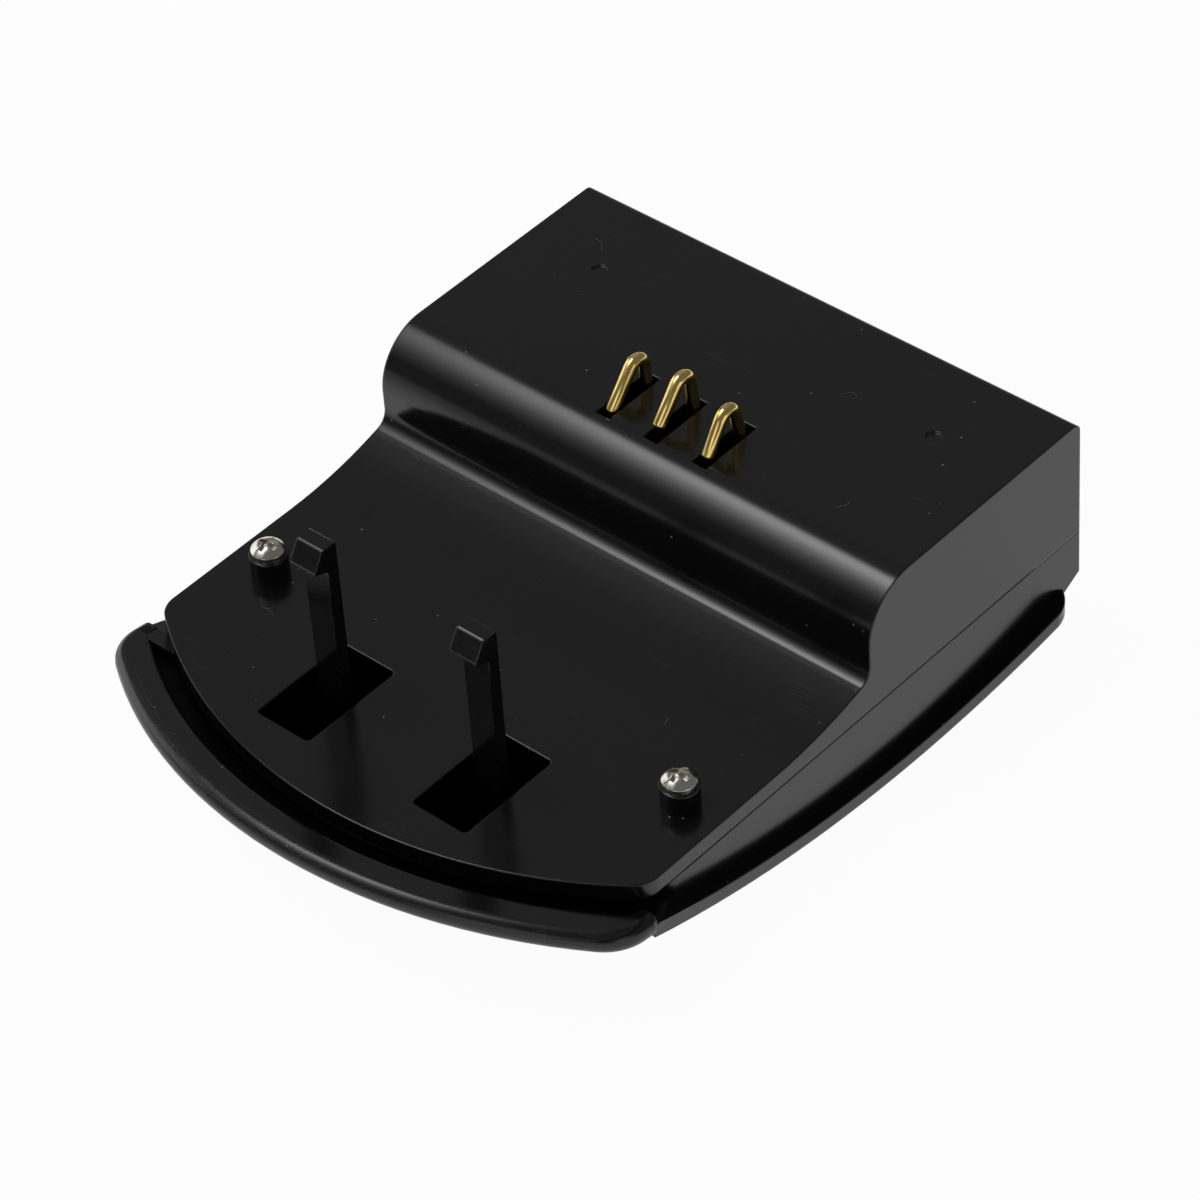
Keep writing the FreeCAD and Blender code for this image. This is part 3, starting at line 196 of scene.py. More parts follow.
class Wire:
    """A node's output socket. Arithmetic on it adds Math nodes to its tree."""

    def __init__(self, tree, socket):
        self.tree = tree
        self.socket = socket

    def maths(self, operation, *values):
        return self.tree.node("ShaderNodeMath", {"operation": operation},
                              dict(enumerate(values)))

    def __add__(self, other):
        return self.maths("ADD", self, other)

    def __radd__(self, other):
        return self.maths("ADD", other, self)

    def __sub__(self, other):
        return self.maths("SUBTRACT", self, other)

    def __rsub__(self, other):
        return self.maths("SUBTRACT", other, self)

    def __mul__(self, other):
        return self.maths("MULTIPLY", self, other)

    def __rmul__(self, other):
        return self.maths("MULTIPLY", other, self)

    def __abs__(self):
        return self.maths("ABSOLUTE", self)

    def __lt__(self, other):
        return self.maths("LESS_THAN", self, other)

    def __gt__(self, other):
        return self.maths("GREATER_THAN", self, other)

    def above(self, low, high):
        """0 up to low, 1 from high on, and a smooth step between."""
        return self.tree.node("ShaderNodeMapRange",
                              {"interpolation_type": "SMOOTHSTEP", "clamp": True},
                              {"Value": self, "From Min": low, "From Max": high,
                               "To Min": 0.0, "To Max": 1.0})

    def below(self, low, high):
        """1 up to low, 0 from high on, and a smooth step between."""
        return 1 - self.above(low, high)

    def limited(self):
        """The value held between 0 and 1."""
        return self.tree.node("ShaderNodeClamp", {}, {"Value": self})


class Nodes:
    """A node tree that starts empty and ends in one output node."""

    def __init__(self, tree, output):
        self.tree = tree
        self.tree.nodes.clear()
        self.output = self.tree.nodes.new(output)

    def node(self, kind, settings, inputs, output=0):
        """Adds a node of this type, sets it up, fills its sockets and returns an output."""
        made = self.tree.nodes.new(kind)
        for key, value in settings.items():
            setattr(made, key, value)
        for key, value in inputs.items():
            socket = made.inputs[key]
            if isinstance(value, Wire):
                self.tree.links.new(value.socket, socket)
            else:
                socket.default_value = value
        return Wire(self, made.outputs[output])

    def end(self, shader):
        """Links the shader to the output, in place of any before it."""
        self.tree.links.new(shader.socket, self.output.inputs["Surface"])

    def end_mixed(self, share, first, second):
        """Ends in a mix of two shaders: the second where share is 1."""
        self.end(self.node("ShaderNodeMixShader", {}, {0: share, 1: first, 2: second}))


class Finish(Nodes):
    """A material's node tree with a Principled shader at its end.

    A Mix node's sockets A and B are 4 and 5 for vectors, and 6 and 7 for colours."""

    def __init__(self, name, **constants):
        self.material = bpy.data.materials.new(name)
        self.material.use_nodes = True
        super().__init__(self.material.node_tree, "ShaderNodeOutputMaterial")
        self.shader = self.node("ShaderNodeBsdfPrincipled", {},
                                {socket.replace("_", " "): value
                                 for socket, value in constants.items()})
        self.end(self.shader)
        self.place = self.node("ShaderNodeTexCoord", {}, {}, "Object")
        split = self.node("ShaderNodeSeparateXYZ", {}, {0: self.place}).socket.node
        self.x, self.y, self.z = (Wire(self, socket) for socket in split.outputs)

    def noise(self, scale, detail=2.0, roughness=0.5, place=None):
        """Cloudy noise from 0 to 1; scale is in clouds a metre."""
        return self.node("ShaderNodeTexNoise", {},
                         {"Vector": place or self.place, "Scale": scale, "Detail": detail,
                          "Roughness": roughness})

    def cells(self, scale, output=0):
        """Distance to the nearest cell's point, or its random colour as output 1."""
        return self.node("ShaderNodeTexVoronoi", {},
                         {"Vector": self.place, "Scale": scale}, output)

    def turned(self, angles, scale):
        """The object's coordinates turned by Euler angles and stretched."""
        return self.node("ShaderNodeMapping", {"vector_type": "POINT"},
                         {"Vector": self.place, "Rotation": angles, "Scale": scale})

    def blend(self, amount, first, second):
        """A colour between first and second."""
        first, second = (colour if isinstance(colour, Wire) else (*colour, 1.0)
                         for colour in (first, second))
        return self.node("ShaderNodeMix", {"data_type": "RGBA"},
                         {0: amount, 6: first, 7: second}, 2)

    def relief(self, height, distance, strength=1.0, under=None):
        """A bump of the given height field; under is a normal to build on."""
        inputs = {"Height": height, "Distance": distance, "Strength": strength}
        if under is not None:
            inputs["Normal"] = under
        return self.node("ShaderNodeBump", {}, inputs)

    def soft_edges(self, radius, sharp=None):
        """Normals rounded over edges by the given radius, as a mould leaves them.

        Where sharp is 1 the edges stay as they are."""
        soft = self.node("ShaderNodeBevel", {"samples": 8}, {"Radius": radius})
        if sharp is None:
            return soft
        plain = self.node("ShaderNodeNewGeometry", {}, {}, 1)
        return self.node("ShaderNodeMix", {"data_type": "VECTOR"},
                         {0: sharp, 4: soft, 5: plain}, 1)

    def reach(self, centre):
        """The distance from an upright axis through (0, centre)."""
        off = self.y - centre
        return self.node("ShaderNodeMath", {"operation": "SQRT"},
                         {0: self.x * self.x + off * off})

    def painted_shade_black(self, share):
        """Ends in dead black, painted shade, where share is 1, and returns the material."""
        black = self.node("ShaderNodeBsdfDiffuse", {}, {"Color": (0.0012, 0.0012, 0.0012, 1.0)})
        self.end_mixed(share, self.shader, black)
        return self.material

    def drive(self, **sockets):
        """Links wires to the shader's sockets, and returns the material."""
        inputs = self.shader.socket.node.inputs
        for name, wire in sockets.items():
            self.tree.links.new(wire.socket, inputs[name.replace("_", " ")])
        return self.material

    def scratches(self, angle, fine, coarse, width, keep):
        """Hair lines along one direction: where a noise stretched along it crosses its middle,
        kept only in patches of a second noise above keep."""
        along = self.turned((0.35 * angle, 0.2, angle), (coarse, fine, fine))
        line = abs(self.noise(1.0, 1.0, 0.4, along) - 0.5).below(width * 0.4, width)
        patch = self.noise(150.0 + 30 * angle, 2.0).above(keep, keep + 0.06)
        return line * patch

    def specks(self, scale, size, share):
        """Dots in a share of the cells of a Voronoi pattern; size is in cell widths."""
        dot = self.cells(scale).below(size * 0.5, size)
        tint = self.cells(scale, output=1)
        pick = self.node("ShaderNodeSeparateColor", {}, {0: tint})
        return dot * pick.below(share, share + 0.01)


def dress(material, *nodes):
    """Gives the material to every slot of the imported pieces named."""
    for name in nodes:
        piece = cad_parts[name]
        for slot in piece.material_slots:
            slot.link = "OBJECT"
            slot.material = material


def finishes():
    return bpy.context.scene.cradle_finishes


# Finishes

def shell_finish(name, settings, base):
    """Black moulded plastic: smooth gloss, a few hair scratches, dust; the base's rim is rubbed.

    Inside the housing, in the channel behind the rim and in a thin band along the seam, it ends
    in painted shade: plain matt black mixed in where little light falls."""
    it = Finish(name, IOR=1.5, Specular_IOR_Level=0.5)
    cloud = it.noise(45.0, 3.0)
    hairs = (it.scratches(0.6, 2600.0, 90.0, 0.006, 0.60)
             + it.scratches(-0.9, 3100.0, 120.0, 0.005, 0.62)
             + it.scratches(1.9, 2400.0, 80.0, 0.005, 0.63)).limited()
    dust = (it.specks(900.0, 0.12, 0.05) + it.specks(330.0, 0.05, 0.12)).limited()
    roughness = settings.shell_roughness + cloud * 0.03 + hairs * 0.12 + dust * 0.3
    colour = it.blend(cloud, settings.shell_colour, [c * 1.35 for c in settings.shell_colour])
    colour = it.blend(hairs * 0.22, colour, settings.scuff_colour)
    rim_reach = it.reach(RIM_CENTRE)
    deck_reach = it.reach(DECK_CENTRE)
    if base:
        front = it.y.below(-26.0 * MM, -25.0 * MM)
        nose = (rim_reach.above(*NOSE) * front
                + abs(it.x).above(*NOSE_HALF) * front).limited()
        strong = it.x.below(-4.0 * MM, 22.0 * MM) * it.x.above(-33.0 * MM, -24.0 * MM)
        along = it.turned((0, 0, 0), (520.0, 520.0, 2600.0))
        rubbed = it.noise(1.0, 6.0, 0.66, along).above(0.40, 0.66)
        grain = it.noise(4200.0, 4.0, 0.7).above(0.40, 0.66)
        worn = (nose * (0.16 + 0.84 * rubbed * grain) * (0.35 + 0.65 * strong)).limited()
        # painted highlight: thin light lines along the rim's creases, broken up in patches and
        # mixed in with the scuffs
        crease_highlight = (abs(rim_reach - RIM_CREASE_HIGHLIGHTS[0]).below(0.03 * MM, 0.09 * MM)
                  + abs(rim_reach - RIM_CREASE_HIGHLIGHTS[1]).below(0.01 * MM, 0.05 * MM) * 0.5)
        line = crease_highlight * front * it.noise(260.0, 3.0).above(0.40, 0.56) * strong
        colour = it.blend((worn * 0.7 + line * 0.3).limited(), colour, settings.scuff_colour)
        roughness = roughness + nose * 0.05 + worn * 0.15 + line * 0.2
    colour = it.blend(dust * 0.6, colour, settings.dust_colour)

    # sharp holds the edges where a rounded normal would draw a light line into a crease
    # painted shade: the room inside the housing is mixed to dead black
    shaded_room = (abs(it.x) < ROOM_HALF) * (deck_reach < ROOM_FRONT) * (it.y < ROOM_BACK)
    # painted shade: a thin dark band along the seam between the shells
    seam_shade = (abs(it.z - SEAM) < 0.07 * MM) * (abs(it.x) > WALL_HALF - 0.1 * MM)
    seam_shade = seam_shade * it.y.below(26.0 * MM, 33.0 * MM)
    if base:
        foot = (abs(abs(it.x) - WALL_HALF) < 0.45 * MM) * (it.z < 9.6 * MM)
        inner = (rim_reach < RIM_INNER - 0.05 * MM) * (it.y < -19.0 * MM)
        corner = (rim_reach < RIM_INNER + 0.4 * MM) * (it.y < RIM_START) * (it.x < RIM_START)
        sharp = (foot + inner + corner).limited()
        well = (abs(it.x) < WELL_HALF) * (deck_reach < WELL_FRONT) * (it.z > WELL_FLOOR)
        shaded_room = shaded_room * ((it.z > ROOM_FLOOR) + well).limited() * (it.z < BASE_ROOM_TOP)
        # painted shade: the channel behind the rim is mixed nearly to black
        channel_shade = ((deck_reach > 48.0 * MM) * (rim_reach < RIM_INNER + 0.1 * MM)
                   * (abs(it.x) < RIM_INNER_HALF + 0.1 * MM) * (it.y < RIM_START)
                   * (it.z < 10.4 * MM))
        # how much painted shade each mask mixes in
        dark = shaded_room + seam_shade * 0.45 + channel_shade * 0.85
    else:
        off_x = abs(it.x) - COLLAR[0]
        off_y = it.y - COLLAR[1]
        sharp = (off_x * off_x + off_y * off_y < COLLAR_RADIUS ** 2) * (it.z < COLLAR_TOP)
        # painted shade inside the upper shell and along its seam
        dark = shaded_room * (it.z < UPPER_ROOM_TOP) + seam_shade * 0.45
    bump = it.relief(it.noise(900.0, 2.0) * 0.5 + hairs * -0.5, 0.000002, 0.4,
                     it.soft_edges(0.0003, sharp))
    it.drive(Base_Color=colour, Roughness=roughness.limited(), Normal=bump)
    return it.painted_shade_black(dark.limited())


def hook_finish(settings):
    """Smooth black plastic of the hooks, a little nicked and rubbed; below the deck, on its bar,
    it ends in painted shade, dead black.
    """
    it = Finish("hook_black", IOR=1.49)
    cloud = it.noise(300.0, 3.0)
    hairs = it.scratches(1.2, 3000.0, 200.0, 0.008, 0.56)
    dust = it.specks(800.0, 0.12, 0.10)
    colour = it.blend(cloud, settings.hook_colour, [c * 1.4 for c in settings.hook_colour])
    colour = it.blend((hairs * 0.3 + dust * 0.5).limited(), colour, settings.scuff_colour)
    bump = it.relief(it.noise(1500.0, 2.0), 0.000003, 0.4, it.soft_edges(0.0002))
    it.drive(Base_Color=colour, Roughness=(0.11 + cloud * 0.06 + hairs * 0.15).limited(),
             Normal=bump)
    # painted shade: below the deck the hook piece ends in dead black
    return it.painted_shade_black(it.z.below(11.0 * MM, 13.0 * MM))


def gold_finish(settings):
    """Gold plated wire: drawn lines, slightly tarnished patches, a bare tip on the left one."""
    it = Finish("contact_gold", Metallic=1.0)
    cloud = it.noise(900.0, 4.0, 0.6)
    drawn = it.noise(1.0, 3.0, 0.6, it.turned((0, 0, 0), (9000.0, 500.0, 500.0)))
    dark = [c * k for c, k in zip(settings.gold_colour, (0.90, 0.80, 0.62))]
    colour = it.blend(cloud.above(0.46, 0.72), settings.gold_colour, dark)
    bare = (it.x.below(-5.8 * MM, -5.5 * MM) * it.y.below(14.85 * MM, 15.1 * MM)
            * it.z.below(24.2 * MM, 24.6 * MM))
    colour = it.blend(bare, colour, (0.86, 0.86, 0.88))
    roughness = 0.10 + cloud * 0.08 + drawn * 0.05 + bare * 0.15
    bump = it.relief(drawn, 0.000004, 0.3, it.soft_edges(0.00028))
    return it.drive(Base_Color=colour, Roughness=roughness.limited(), Normal=bump)


def nickel_finish(settings):
    """Nickel plated screws: soft mirror with turning marks and dull patches."""
    it = Finish("nickel", Metallic=1.0)
    cloud = it.noise(1500.0, 4.0, 0.6)
    spots = it.noise(5200.0, 3.0, 0.6).above(0.6, 0.72)
    dark = [c * 0.62 for c in settings.nickel_colour]
    colour = it.blend((cloud * 0.5 + spots * 0.5).limited(), settings.nickel_colour, dark)
    bump = it.relief(it.noise(4000.0, 3.0), 0.00001, 0.4, it.soft_edges(0.00008))
    return it.drive(Base_Color=colour, Roughness=(0.12 + cloud * 0.1 + spots * 0.2).limited(),
                    Normal=bump)


def steel_finish():
    """Plain spring steel with drawn lines."""
    it = Finish("spring_steel", Metallic=1.0)
    drawn = it.noise(1.0, 3.0, 0.6, it.turned((0, 0, 0), (900.0, 7000.0, 7000.0)))
    cloud = it.noise(700.0, 3.0)
    colour = it.blend(cloud, (0.46, 0.46, 0.47), (0.33, 0.33, 0.34))
    return it.drive(Base_Color=colour, Roughness=0.26 + drawn * 0.14,
                    Normal=it.relief(drawn, 0.000006, 0.4))


def plain_finish(name, colour, other, roughness, scale, metallic=0.0):
    """A plain inner material: two near colours in fine clouds over a faint grain."""
    it = Finish(name, Metallic=metallic)
    cloud = it.noise(scale, 3.0)
    grain = it.noise(scale * 9, 2.0)
    return it.drive(Base_Color=it.blend(cloud, colour, other),
                    Roughness=(roughness + grain * 0.12).limited(),
                    Normal=it.relief(grain, 0.00001, 0.3))


def board_finish():
    """Green lacquered board: copper tracks that show as slightly lighter, raised bands."""
    it = Finish("board_green")
    across = abs(it.node("ShaderNodeMath", {"operation": "FRACT"}, {0: it.x * 420.0}) - 0.5)
    along = abs(it.node("ShaderNodeMath", {"operation": "FRACT"}, {0: it.y * 300.0}) - 0.5)
    choose = it.cells(130.0).above(0.30, 0.32)
    tracks = (across.below(0.10, 0.14) * choose
              + along.below(0.10, 0.14) * (1 - choose)).limited()
    colour = it.blend(tracks, (0.018, 0.11, 0.045), (0.035, 0.19, 0.075))
    return it.drive(Base_Color=colour, Roughness=0.3 + it.noise(2000.0) * 0.15,
                    Normal=it.relief(tracks, 0.00003, 0.6))


def floor_finish():
    """White paper that keeps a faint shadow and shows white in what mirrors it."""
    it = Finish("floor_white", Roughness=0.9, Base_Color=(0.9, 0.9, 0.9, 1.0))
    seen, mirrored, through = (it.node("ShaderNodeLightPath", {}, {}, "Is %s Ray" % kind)
                               for kind in ("Camera", "Glossy", "Transmission"))
    # what mirrors the paper far off to the front left sees it unlit there
    along = it.x * -0.52 + it.y * -0.85
    aside = abs(it.x * -0.85 + it.y * 0.52)
    far = (along - aside).above(0.02, 0.08)
    share = (seen * 0.96 + mirrored * (0.8 - 0.72 * far) + through * 0.6).limited()
    it.end_mixed(share, it.shader, it.node("ShaderNodeEmission", {}, {"Strength": 1.0}))
    return it.material


# New surfaces

def skin(rings, around, closed=False):
    """Faces over rings of vertices.

    Each ring is joined to the next, and where closed the last to the first. The ends of an open
    row of rings get a face each."""
    here = np.arange(rings if closed else rings - 1)[:, None] * around
    there = (here + around) % (rings * around)
    step = np.arange(around)[None, :]
    beside = (step + 1) % around
    faces = np.stack([here + step, here + beside, there + beside, there + step],
                     axis=-1).reshape(-1, 4).tolist()
    if not closed:
        faces += [list(range(around))[::-1], list(range((rings - 1) * around, rings * around))]
    return faces


def unit(vector):
    return vector / np.linalg.norm(vector, axis=-1, keepdims=True)


def thread(points, radius, around=6):
    """Vertices and faces of a round thread.

    Each ring is point + radius * (cos a * N + sin a * B), where N and B are perpendicular to
    the path's direction: B is the direction crossed with up, and N is B crossed with it. The
    radius tapers to a tenth at both ends by the root of sin(pi * t)."""
    direction = unit(np.gradient(points, axis=0))
    side = unit(np.cross(direction, np.array([0.0, 0.0, 1.0])))
    normal = np.cross(side, direction)
    angle = np.linspace(0, 2 * np.pi, around, endpoint=False)
    taper = 0.1 + 0.9 * np.sqrt(np.sin(np.pi * np.linspace(0.02, 0.98, len(points))))
    ring = (np.cos(angle)[None, :, None] * normal[:, None, :]
            + np.sin(angle)[None, :, None] * side[:, None, :])
    vertices = points[:, None, :] + radius * taper[:, None, None] * ring
    return vertices.reshape(-1, 3), skin(len(points), around)


def fibre_path(start, heading, length, curl, lift, count=26):
    """A loose fibre lying on a flat face.

    Its heading turns along its length by curl * sin(2 pi t) plus half of curl * t, it is
    followed by adding equal steps, and its middle stands up by lift * sin(pi t) squared."""
    t = np.linspace(0, 1, count)
    angle = heading + curl * np.sin(2 * np.pi * t) + 0.5 * curl * t
    step = length / (count - 1)
    x = start[0] + np.concatenate([[0], np.cumsum(np.cos(angle[:-1]) * step)])
    y = start[1] + np.concatenate([[0], np.cumsum(np.sin(angle[:-1]) * step)])
    z = start[2] + lift * np.sin(np.pi * t) ** 2
    return np.stack([x, y, z], axis=1)


def rounded(corners, bends, count=9):
    """A path in a plane whose corners are arcs.

    An arc of radius r touches both runs at r / tan(half the angle) from its corner. Between
    its first and last spoke it holds (sin((1 - k) f) * first + sin(k f) * last) / sin f,
    where f is the angle it turns through and k goes from 0 to 1."""
    k = np.linspace(0, 1, count)[:, None]
    parts = [corners[:1]]
    for before, corner, after, radius in zip(corners, corners[1:], corners[2:], bends):
        back, on = unit(before - corner), unit(after - corner)
        half = math.acos(float(back @ on)) / 2
        turn = math.pi - 2 * half
        middle = corner + unit(back + on) * radius / math.sin(half)
        first = corner + back * radius / math.tan(half) - middle
        last = corner + on * radius / math.tan(half) - middle
        parts.append(middle + (np.sin((1 - k) * turn) * first + np.sin(k * turn) * last)
                     / math.sin(turn))
    return np.concatenate(parts + [corners[-1:]])


def flat_wire(x, path, radius, closed=False, around=20):
    """Vertices and faces of a round wire whose path lies in the plane of this x.

    Each ring is point + radius * (cos a * N + sin a * X), where N is X crossed with the path's
    direction. An open wire's ends are rounded off: the last three rings have 0.8, 0.95 and 1
    times the radius, 0, 0.02 and 0.12 mm from the end."""
    if closed:
        direction = np.roll(path, -1, axis=0) - np.roll(path, 1, axis=0)
        scale = np.ones(len(path))
    else:
        off = np.array([[0.02], [0.12]]) * MM
        path = np.concatenate([path[:1], path[0] + off * unit(path[1] - path[0]), path[1:-1],
                               (path[-1] + off * unit(path[-2] - path[-1]))[::-1], path[-1:]])
        direction = np.gradient(path, axis=0)
        scale = np.ones(len(path))
        scale[[0, -1]], scale[[1, -2]] = 0.8, 0.95
    direction = unit(direction)
    normal = np.stack([-direction[:, 1], direction[:, 0]], axis=1)
    angle = np.linspace(0, 2 * np.pi, around, endpoint=False)
    out = radius * scale[:, None]
    across = x + out * np.sin(angle)
    flat = path[:, None] + (out * np.cos(angle))[:, :, None] * normal[:, None]
    vertices = np.concatenate([across[:, :, None], flat], axis=2).reshape(-1, 3)
    return vertices, skin(len(path), around, closed)


def channel_end(side):
    """The web that closes the channel behind the rim at one end.

    Across it runs straight from the deck's edge, an arc about (0, 16.05), to the rim's inner
    edge, an arc about (0, 12.06). Its top follows the rim's slope of 7.8 degrees and its
    underside is flat."""
    rows, columns = 15, 7
    y = np.linspace(-25.1, -26.9, rows)[:, None] * MM
    deck = np.sqrt(DECK_RADIUS ** 2 - (y - DECK_CENTRE) ** 2) - 0.25 * MM
    rim = np.sqrt(RIM_INNER ** 2 - (y - RIM_CENTRE) ** 2)
    rim = np.minimum(rim, RIM_INNER_HALF) + 0.25 * MM
    across = np.linspace(0, 1, columns)[None, :]
    x = side * ((1 - across) * deck + across * rim)
    top = 5.47 * MM + (RIM_CENTRE - y) * math.tan(RIM_SLOPE)
    y, top = (np.repeat(values, columns, axis=1) for values in (y, top))
    points = np.concatenate([np.stack([x, y, z], axis=2).reshape(-1, 3)
                             for z in (top, np.full_like(top, 9.3 * MM))])
    count = rows * columns
    at = np.arange(count).reshape(rows, columns)
    quads = np.stack([at[:-1, :-1], at[1:, :-1], at[1:, 1:], at[:-1, 1:]], axis=-1)
    edge = np.concatenate([at[0, :], at[1:, -1], at[-1, -2::-1], at[-2:0:-1, 0]])
    after = np.roll(edge, -1)
    faces = (quads.reshape(-1, 4).tolist() + (quads[..., ::-1].reshape(-1, 4) + count).tolist()
             + np.stack([edge, after, after + count, edge + count], axis=1).tolist())
    if side < 0:
        faces = [face[::-1] for face in faces]
    return points, faces


def coil(low, high, wire, turns, around=8, steps=24):
    """Vertices and faces of a coil spring that lies along Y and fills the box from low to high.

    With R the wire's distance from the axis, t the turn angle and a the angle round the wire:
    x = middle + (R + wire cos a) cos t, z = middle + (R + wire cos a) sin t,
    y = start + pitch * t / 2 pi + wire sin a."""
    middle = (low + high) / 2
    far = (high[0] - low[0]) / 2 - wire
    t = np.linspace(0, 2 * np.pi * turns, steps * turns + 1)[:, None]
    a = np.linspace(0, 2 * np.pi, around, endpoint=False)[None, :]
    out = far + wire * np.cos(a)
    y = low[1] + wire + (high[1] - low[1] - 2 * wire) * t / t[-1] + wire * np.sin(a)
    points = np.stack([middle[0] + out * np.cos(t), y, middle[2] + out * np.sin(t)], axis=2)
    return points.reshape(-1, 3), skin(len(t), around)


def joined(parts):
    """One set of vertices and faces from several."""
    starts = np.cumsum([0] + [len(points) for points, _ in parts])
    faces = [[i + int(start) for i in face] for start, (_, some) in zip(starts, parts)
             for face in some]
    return np.concatenate([points for points, _ in parts]), faces


def new_piece(name, vertices, faces, material):
    """A mesh object at the origin, its place in its mesh."""
    mesh = bpy.data.meshes.new(name)
    mesh.from_pydata(vertices.tolist(), [], faces)
    mesh.shade_smooth()
    mesh.materials.append(material)
    piece = bpy.data.objects.new(name, mesh)
    bpy.context.scene.collection.objects.link(piece)
    return piece


# World and lights

def soft_room(sky):
    """A world that the camera sees white and that lights weakly from all round."""
    world = bpy.data.worlds.new("soft_room")
    world.use_nodes = True
    it = Nodes(world.node_tree, "ShaderNodeOutputWorld")
    seen = it.node("ShaderNodeLightPath", {}, {}, "Is Camera Ray")
    lit, white = (it.node("ShaderNodeBackground", {},
                          {"Color": (1.0, 1.0, 1.0, 1.0), "Strength": strength})
                  for strength in (sky, 1.0))
    it.end_mixed(seen, lit, white)
    return world


def soft_light(name, tilt, turn, high, wide, radiance):
    """An area light 1 m from the part's middle, facing it.

    It stands turn degrees to the left of the plane X = 0, tilt degrees forward of upright in
    that plane, and covers high by wide degrees. Its power is radiance * pi * area."""
    a, b = math.radians(tilt), math.radians(turn)
    back = np.array([-math.sin(b), -math.cos(b) * math.sin(a), math.cos(b) * math.cos(a)])
    up = np.array([0.0, math.cos(a), math.sin(a)])
    side = unit(np.cross(up, back))
    lamp = bpy.data.lights.new(name, "AREA")
    lamp.shape = "RECTANGLE"
    lamp.size = 2 * math.tan(math.radians(wide / 2))
    lamp.size_y = 2 * math.tan(math.radians(high / 2))
    lamp.energy = radiance * math.pi * lamp.size * lamp.size_y
    item = bpy.data.objects.new(name, lamp)
    item.location = back + np.array([0, 0, MIDDLE])
    item.visible_camera = False
    item.rotation_euler = Matrix((side, np.cross(back, side), back)).transposed().to_euler()
    bpy.context.scene.collection.objects.link(item)


# Operators

class CRADLE_OT_shells(bpy.types.Operator):
    """Give both shells their black moulded finish and close the channel's left end"""

    bl_idname = "cradle.shells"
    bl_label = "Finish the shells"

    def execute(self, context):
        dress(shell_finish("shell_black", finishes(), False), "upper_shell")
        rubbed = shell_finish("shell_black_rubbed", finishes(), True)
        dress(rubbed, "base_shell")
        piece = new_piece("channel_end", *channel_end(-1), rubbed)
        piece.data.shade_flat()
        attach(piece, "cradle")
        return {"FINISHED"}


class CRADLE_OT_hooks(bpy.types.Operator):
    """Give the hooks and their slider a smooth black finish"""

    bl_idname = "cradle.hooks"
    bl_label = "Finish the hooks"

    def execute(self, context):
        dress(hook_finish(finishes()), "hook_slider")
        return {"FINISHED"}


class CRADLE_OT_contacts(bpy.types.Operator):
    """Draw the wire contacts round and smooth, and give them and the pads gold plating"""

    bl_idname = "cradle.contacts"
    bl_label = "Finish the contacts"

    def execute(self, context):
        gold = gold_finish(finishes())
        dress(gold, "contact_left", "contact_middle", "contact_right", "output_contacts")
        low, high = (np.array(corner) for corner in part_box("contact_pin"))
        pin = ((low + high) / 2)[1:]
        quarter = np.linspace(0, np.pi / 2, 12)[1:-1, None]
        over = pin + COIL * np.concatenate([np.sin(quarter), np.cos(quarter)], axis=1)
        tail = np.array([pin + (COIL, 0), (pin[0] + COIL, TAIL_END)])
        whole = np.linspace(0, 2 * np.pi, 36, endpoint=False)[:, None]
        turn = pin + COIL * np.concatenate([np.cos(whole), np.sin(whole)], axis=1)
        for side, step, end, peak_ahead, peak in CONTACTS:
            x = step * CONTACT_PITCH
            front = rounded(np.array([(pin[0] + END_AHEAD, end), (pin[0] + peak_ahead, peak),
                                      pin + (LEG_AHEAD, COIL), pin + (0, COIL)]),
                            (PEAK_BEND, LEG_BEND))
            parts = [flat_wire(x, np.concatenate([front, over, tail]), WIRE)]
            for off in (-COIL_STEP, COIL_STEP):
                parts.append(flat_wire(x + off, turn, WIRE, closed=True))
            piece = new_piece("wire_" + side, *joined(parts), gold)
            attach(piece, side + "_contact")
            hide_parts("contact_" + side)
        return {"FINISHED"}


class CRADLE_OT_screws(bpy.types.Operator):
    """Give all the screws their nickel plating"""

    bl_idname = "cradle.screws"
    bl_label = "Finish the screws"

    def execute(self, context):
        dress(nickel_finish(finishes()), "front_screws", "rear_screws", "carrier_screws",
              "board_screws")
        return {"FINISHED"}


class CRADLE_OT_inside(bpy.types.Operator):
    """Draw the slider's springs, and finish the pin, carrier, board, its parts and the leads"""

    bl_idname = "cradle.inside"
    bl_label = "Finish the inner pieces"

    def execute(self, context):
        steel = steel_finish()
        dress(steel, "slider_spring_left", "slider_spring_right", "contact_pin")
        for side in ("left", "right"):
            low, high = (np.array(corner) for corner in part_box("slider_spring_" + side))
            piece = new_piece("coil_" + side, *coil(low, high, SPRING_WIRE, SPRING_TURNS),
                              steel)
            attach(piece, "cradle")
            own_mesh(piece)
            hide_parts("slider_spring_" + side)
        dress(plain_finish("carrier_plastic", (0.62, 0.60, 0.54), (0.55, 0.53, 0.47), 0.45,
                           400.0), "contact_carrier")
        dress(board_finish(), "circuit_board")
        dress(plain_finish("chip_black", (0.02, 0.02, 0.021), (0.03, 0.03, 0.03), 0.5, 900.0),
              "control_chip", "chip_resistors", "chip_diode")
        dress(plain_finish("capacitor_can", (0.5, 0.51, 0.53), (0.38, 0.39, 0.41), 0.3, 500.0,
                           1.0), "filter_capacitors")
        dress(plain_finish("lead_sleeve", (0.36, 0.02, 0.015), (0.28, 0.015, 0.012), 0.4,
                           700.0), "lead_left", "lead_middle", "lead_right")
        return {"FINISHED"}


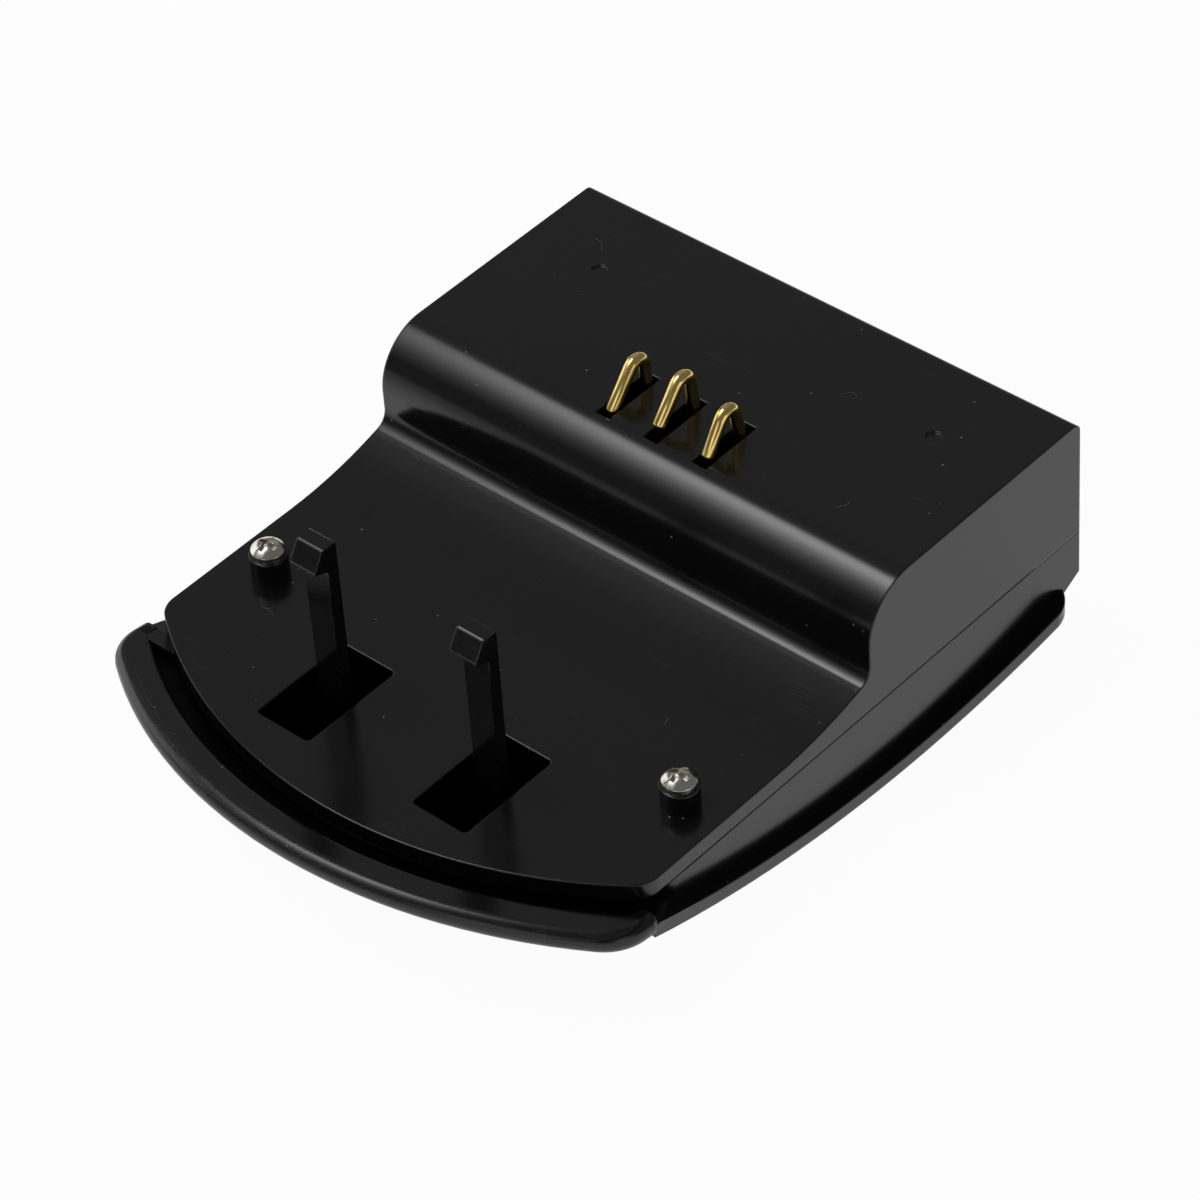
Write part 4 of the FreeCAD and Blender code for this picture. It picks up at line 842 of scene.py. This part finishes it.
class CRADLE_OT_lint(bpy.types.Operator):
    """Lay a few loose fibres on the deck and the block"""

    bl_idname = "cradle.lint"
    bl_label = "Lay the lint"

    def execute(self, context):
        settings = finishes()
        it = Finish("lint", Roughness=0.8)
        material = it.drive(Base_Color=it.blend(it.noise(3000.0), settings.dust_colour,
                                                [c * 0.6 for c in settings.dust_colour]))
        chance = np.random.default_rng(31)
        fibres = []
        for index in range(settings.lint_count):
            top = index % 3 == 0
            x = chance.uniform(-26, 26) * MM
            y = (chance.uniform(17, 37) if top else chance.uniform(-22, 0)) * MM
            z = (BLOCK_TOP if top else DECK_TOP) + settings.lint_radius * 1.2
            path = fibre_path((x, y, z), chance.uniform(0, 2 * math.pi),
                              chance.uniform(1.2, 3.6) * MM, chance.uniform(-1.6, 1.6),
                              chance.uniform(0.02, 0.12) * MM)
            fibres.append(thread(path, settings.lint_radius))
        if not fibres:
            raise RuntimeError("no lint was laid")
        piece = new_piece("lint", *joined(fibres), material)
        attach(piece, "cradle")
        return {"FINISHED"}


class CRADLE_OT_stage(bpy.types.Operator):
    """Set up the floor, the lights, the world and the camera"""

    bl_idname = "cradle.stage"
    bl_label = "Set the stage"

    def execute(self, context):
        settings = context.scene.cradle_stage
        half = settings.floor_size / 2
        corners = np.array([(-half, -half, -FLOOR_GAP), (half, -half, -FLOOR_GAP),
                            (half, half, -FLOOR_GAP), (-half, half, -FLOOR_GAP)])
        floor = new_piece("floor", corners, [[0, 1, 2, 3]], floor_finish())
        context.scene.world = soft_room(settings.sky)
        for index, (low, high, wide, share) in enumerate(SOFT_BOX):
            soft_light("key_%d" % index, (low + high) / 2, SOFT_BOX_TURN, high - low, wide,
                       settings.key * share)
        soft_light("card_left", 40.0, 84.0, 36.0, 60.0, settings.card)
        soft_light("card_right", 40.0, -84.0, 30.0, 40.0, settings.card * 0.7)
        soft_light("card_front", 74.5, -13.5, 24.0, 24.0, settings.card * 0.8)
        soft_light("back", -42.0, 31.0, 54.0, 50.0, settings.back)
        lens = bpy.data.cameras.new("camera")
        lens.lens = settings.focal_length
        lens.sensor_width = 36.0
        lens.clip_start = 0.01
        camera = bpy.data.objects.new("camera", lens)
        context.scene.collection.objects.link(camera)
        camera.matrix_world = CAMERA
        context.scene.camera = camera
        context.scene.view_settings.view_transform = "Standard"
        return {"FINISHED"}


class CRADLE_PT_looks(bpy.types.Panel):
    """Finishes of the cradle and its stage"""

    bl_idname = "CRADLE_PT_looks"
    bl_label = "Battery cradle"
    bl_space_type = "VIEW_3D"
    bl_region_type = "UI"
    bl_category = "Cradle"

    def draw(self, context):
        for operator in STEPS:
            self.layout.operator(operator.bl_idname)
        for settings in (context.scene.cradle_finishes, context.scene.cradle_stage):
            for name in settings.bl_rna.properties.keys():
                if name not in ("rna_type", "name"):
                    self.layout.prop(settings, name)


STEPS = (CRADLE_OT_stage, CRADLE_OT_shells, CRADLE_OT_hooks, CRADLE_OT_contacts,
         CRADLE_OT_screws, CRADLE_OT_inside, CRADLE_OT_lint)
CLASSES = (CradleFinishes, CradleStage, *STEPS, CRADLE_PT_looks)


def register():
    for item in CLASSES:
        bpy.utils.register_class(item)
    bpy.types.Scene.cradle_finishes = bpy.props.PointerProperty(type=CradleFinishes)
    bpy.types.Scene.cradle_stage = bpy.props.PointerProperty(type=CradleStage)


def unregister():
    del bpy.types.Scene.cradle_stage
    del bpy.types.Scene.cradle_finishes
    for item in reversed(CLASSES):
        bpy.utils.unregister_class(item)


def main():
    """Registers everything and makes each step."""
    register()
    for step in STEPS:
        group, name = step.bl_idname.split(".")
        getattr(getattr(bpy.ops, group), name)()


if __name__ == "__main__":
    main()
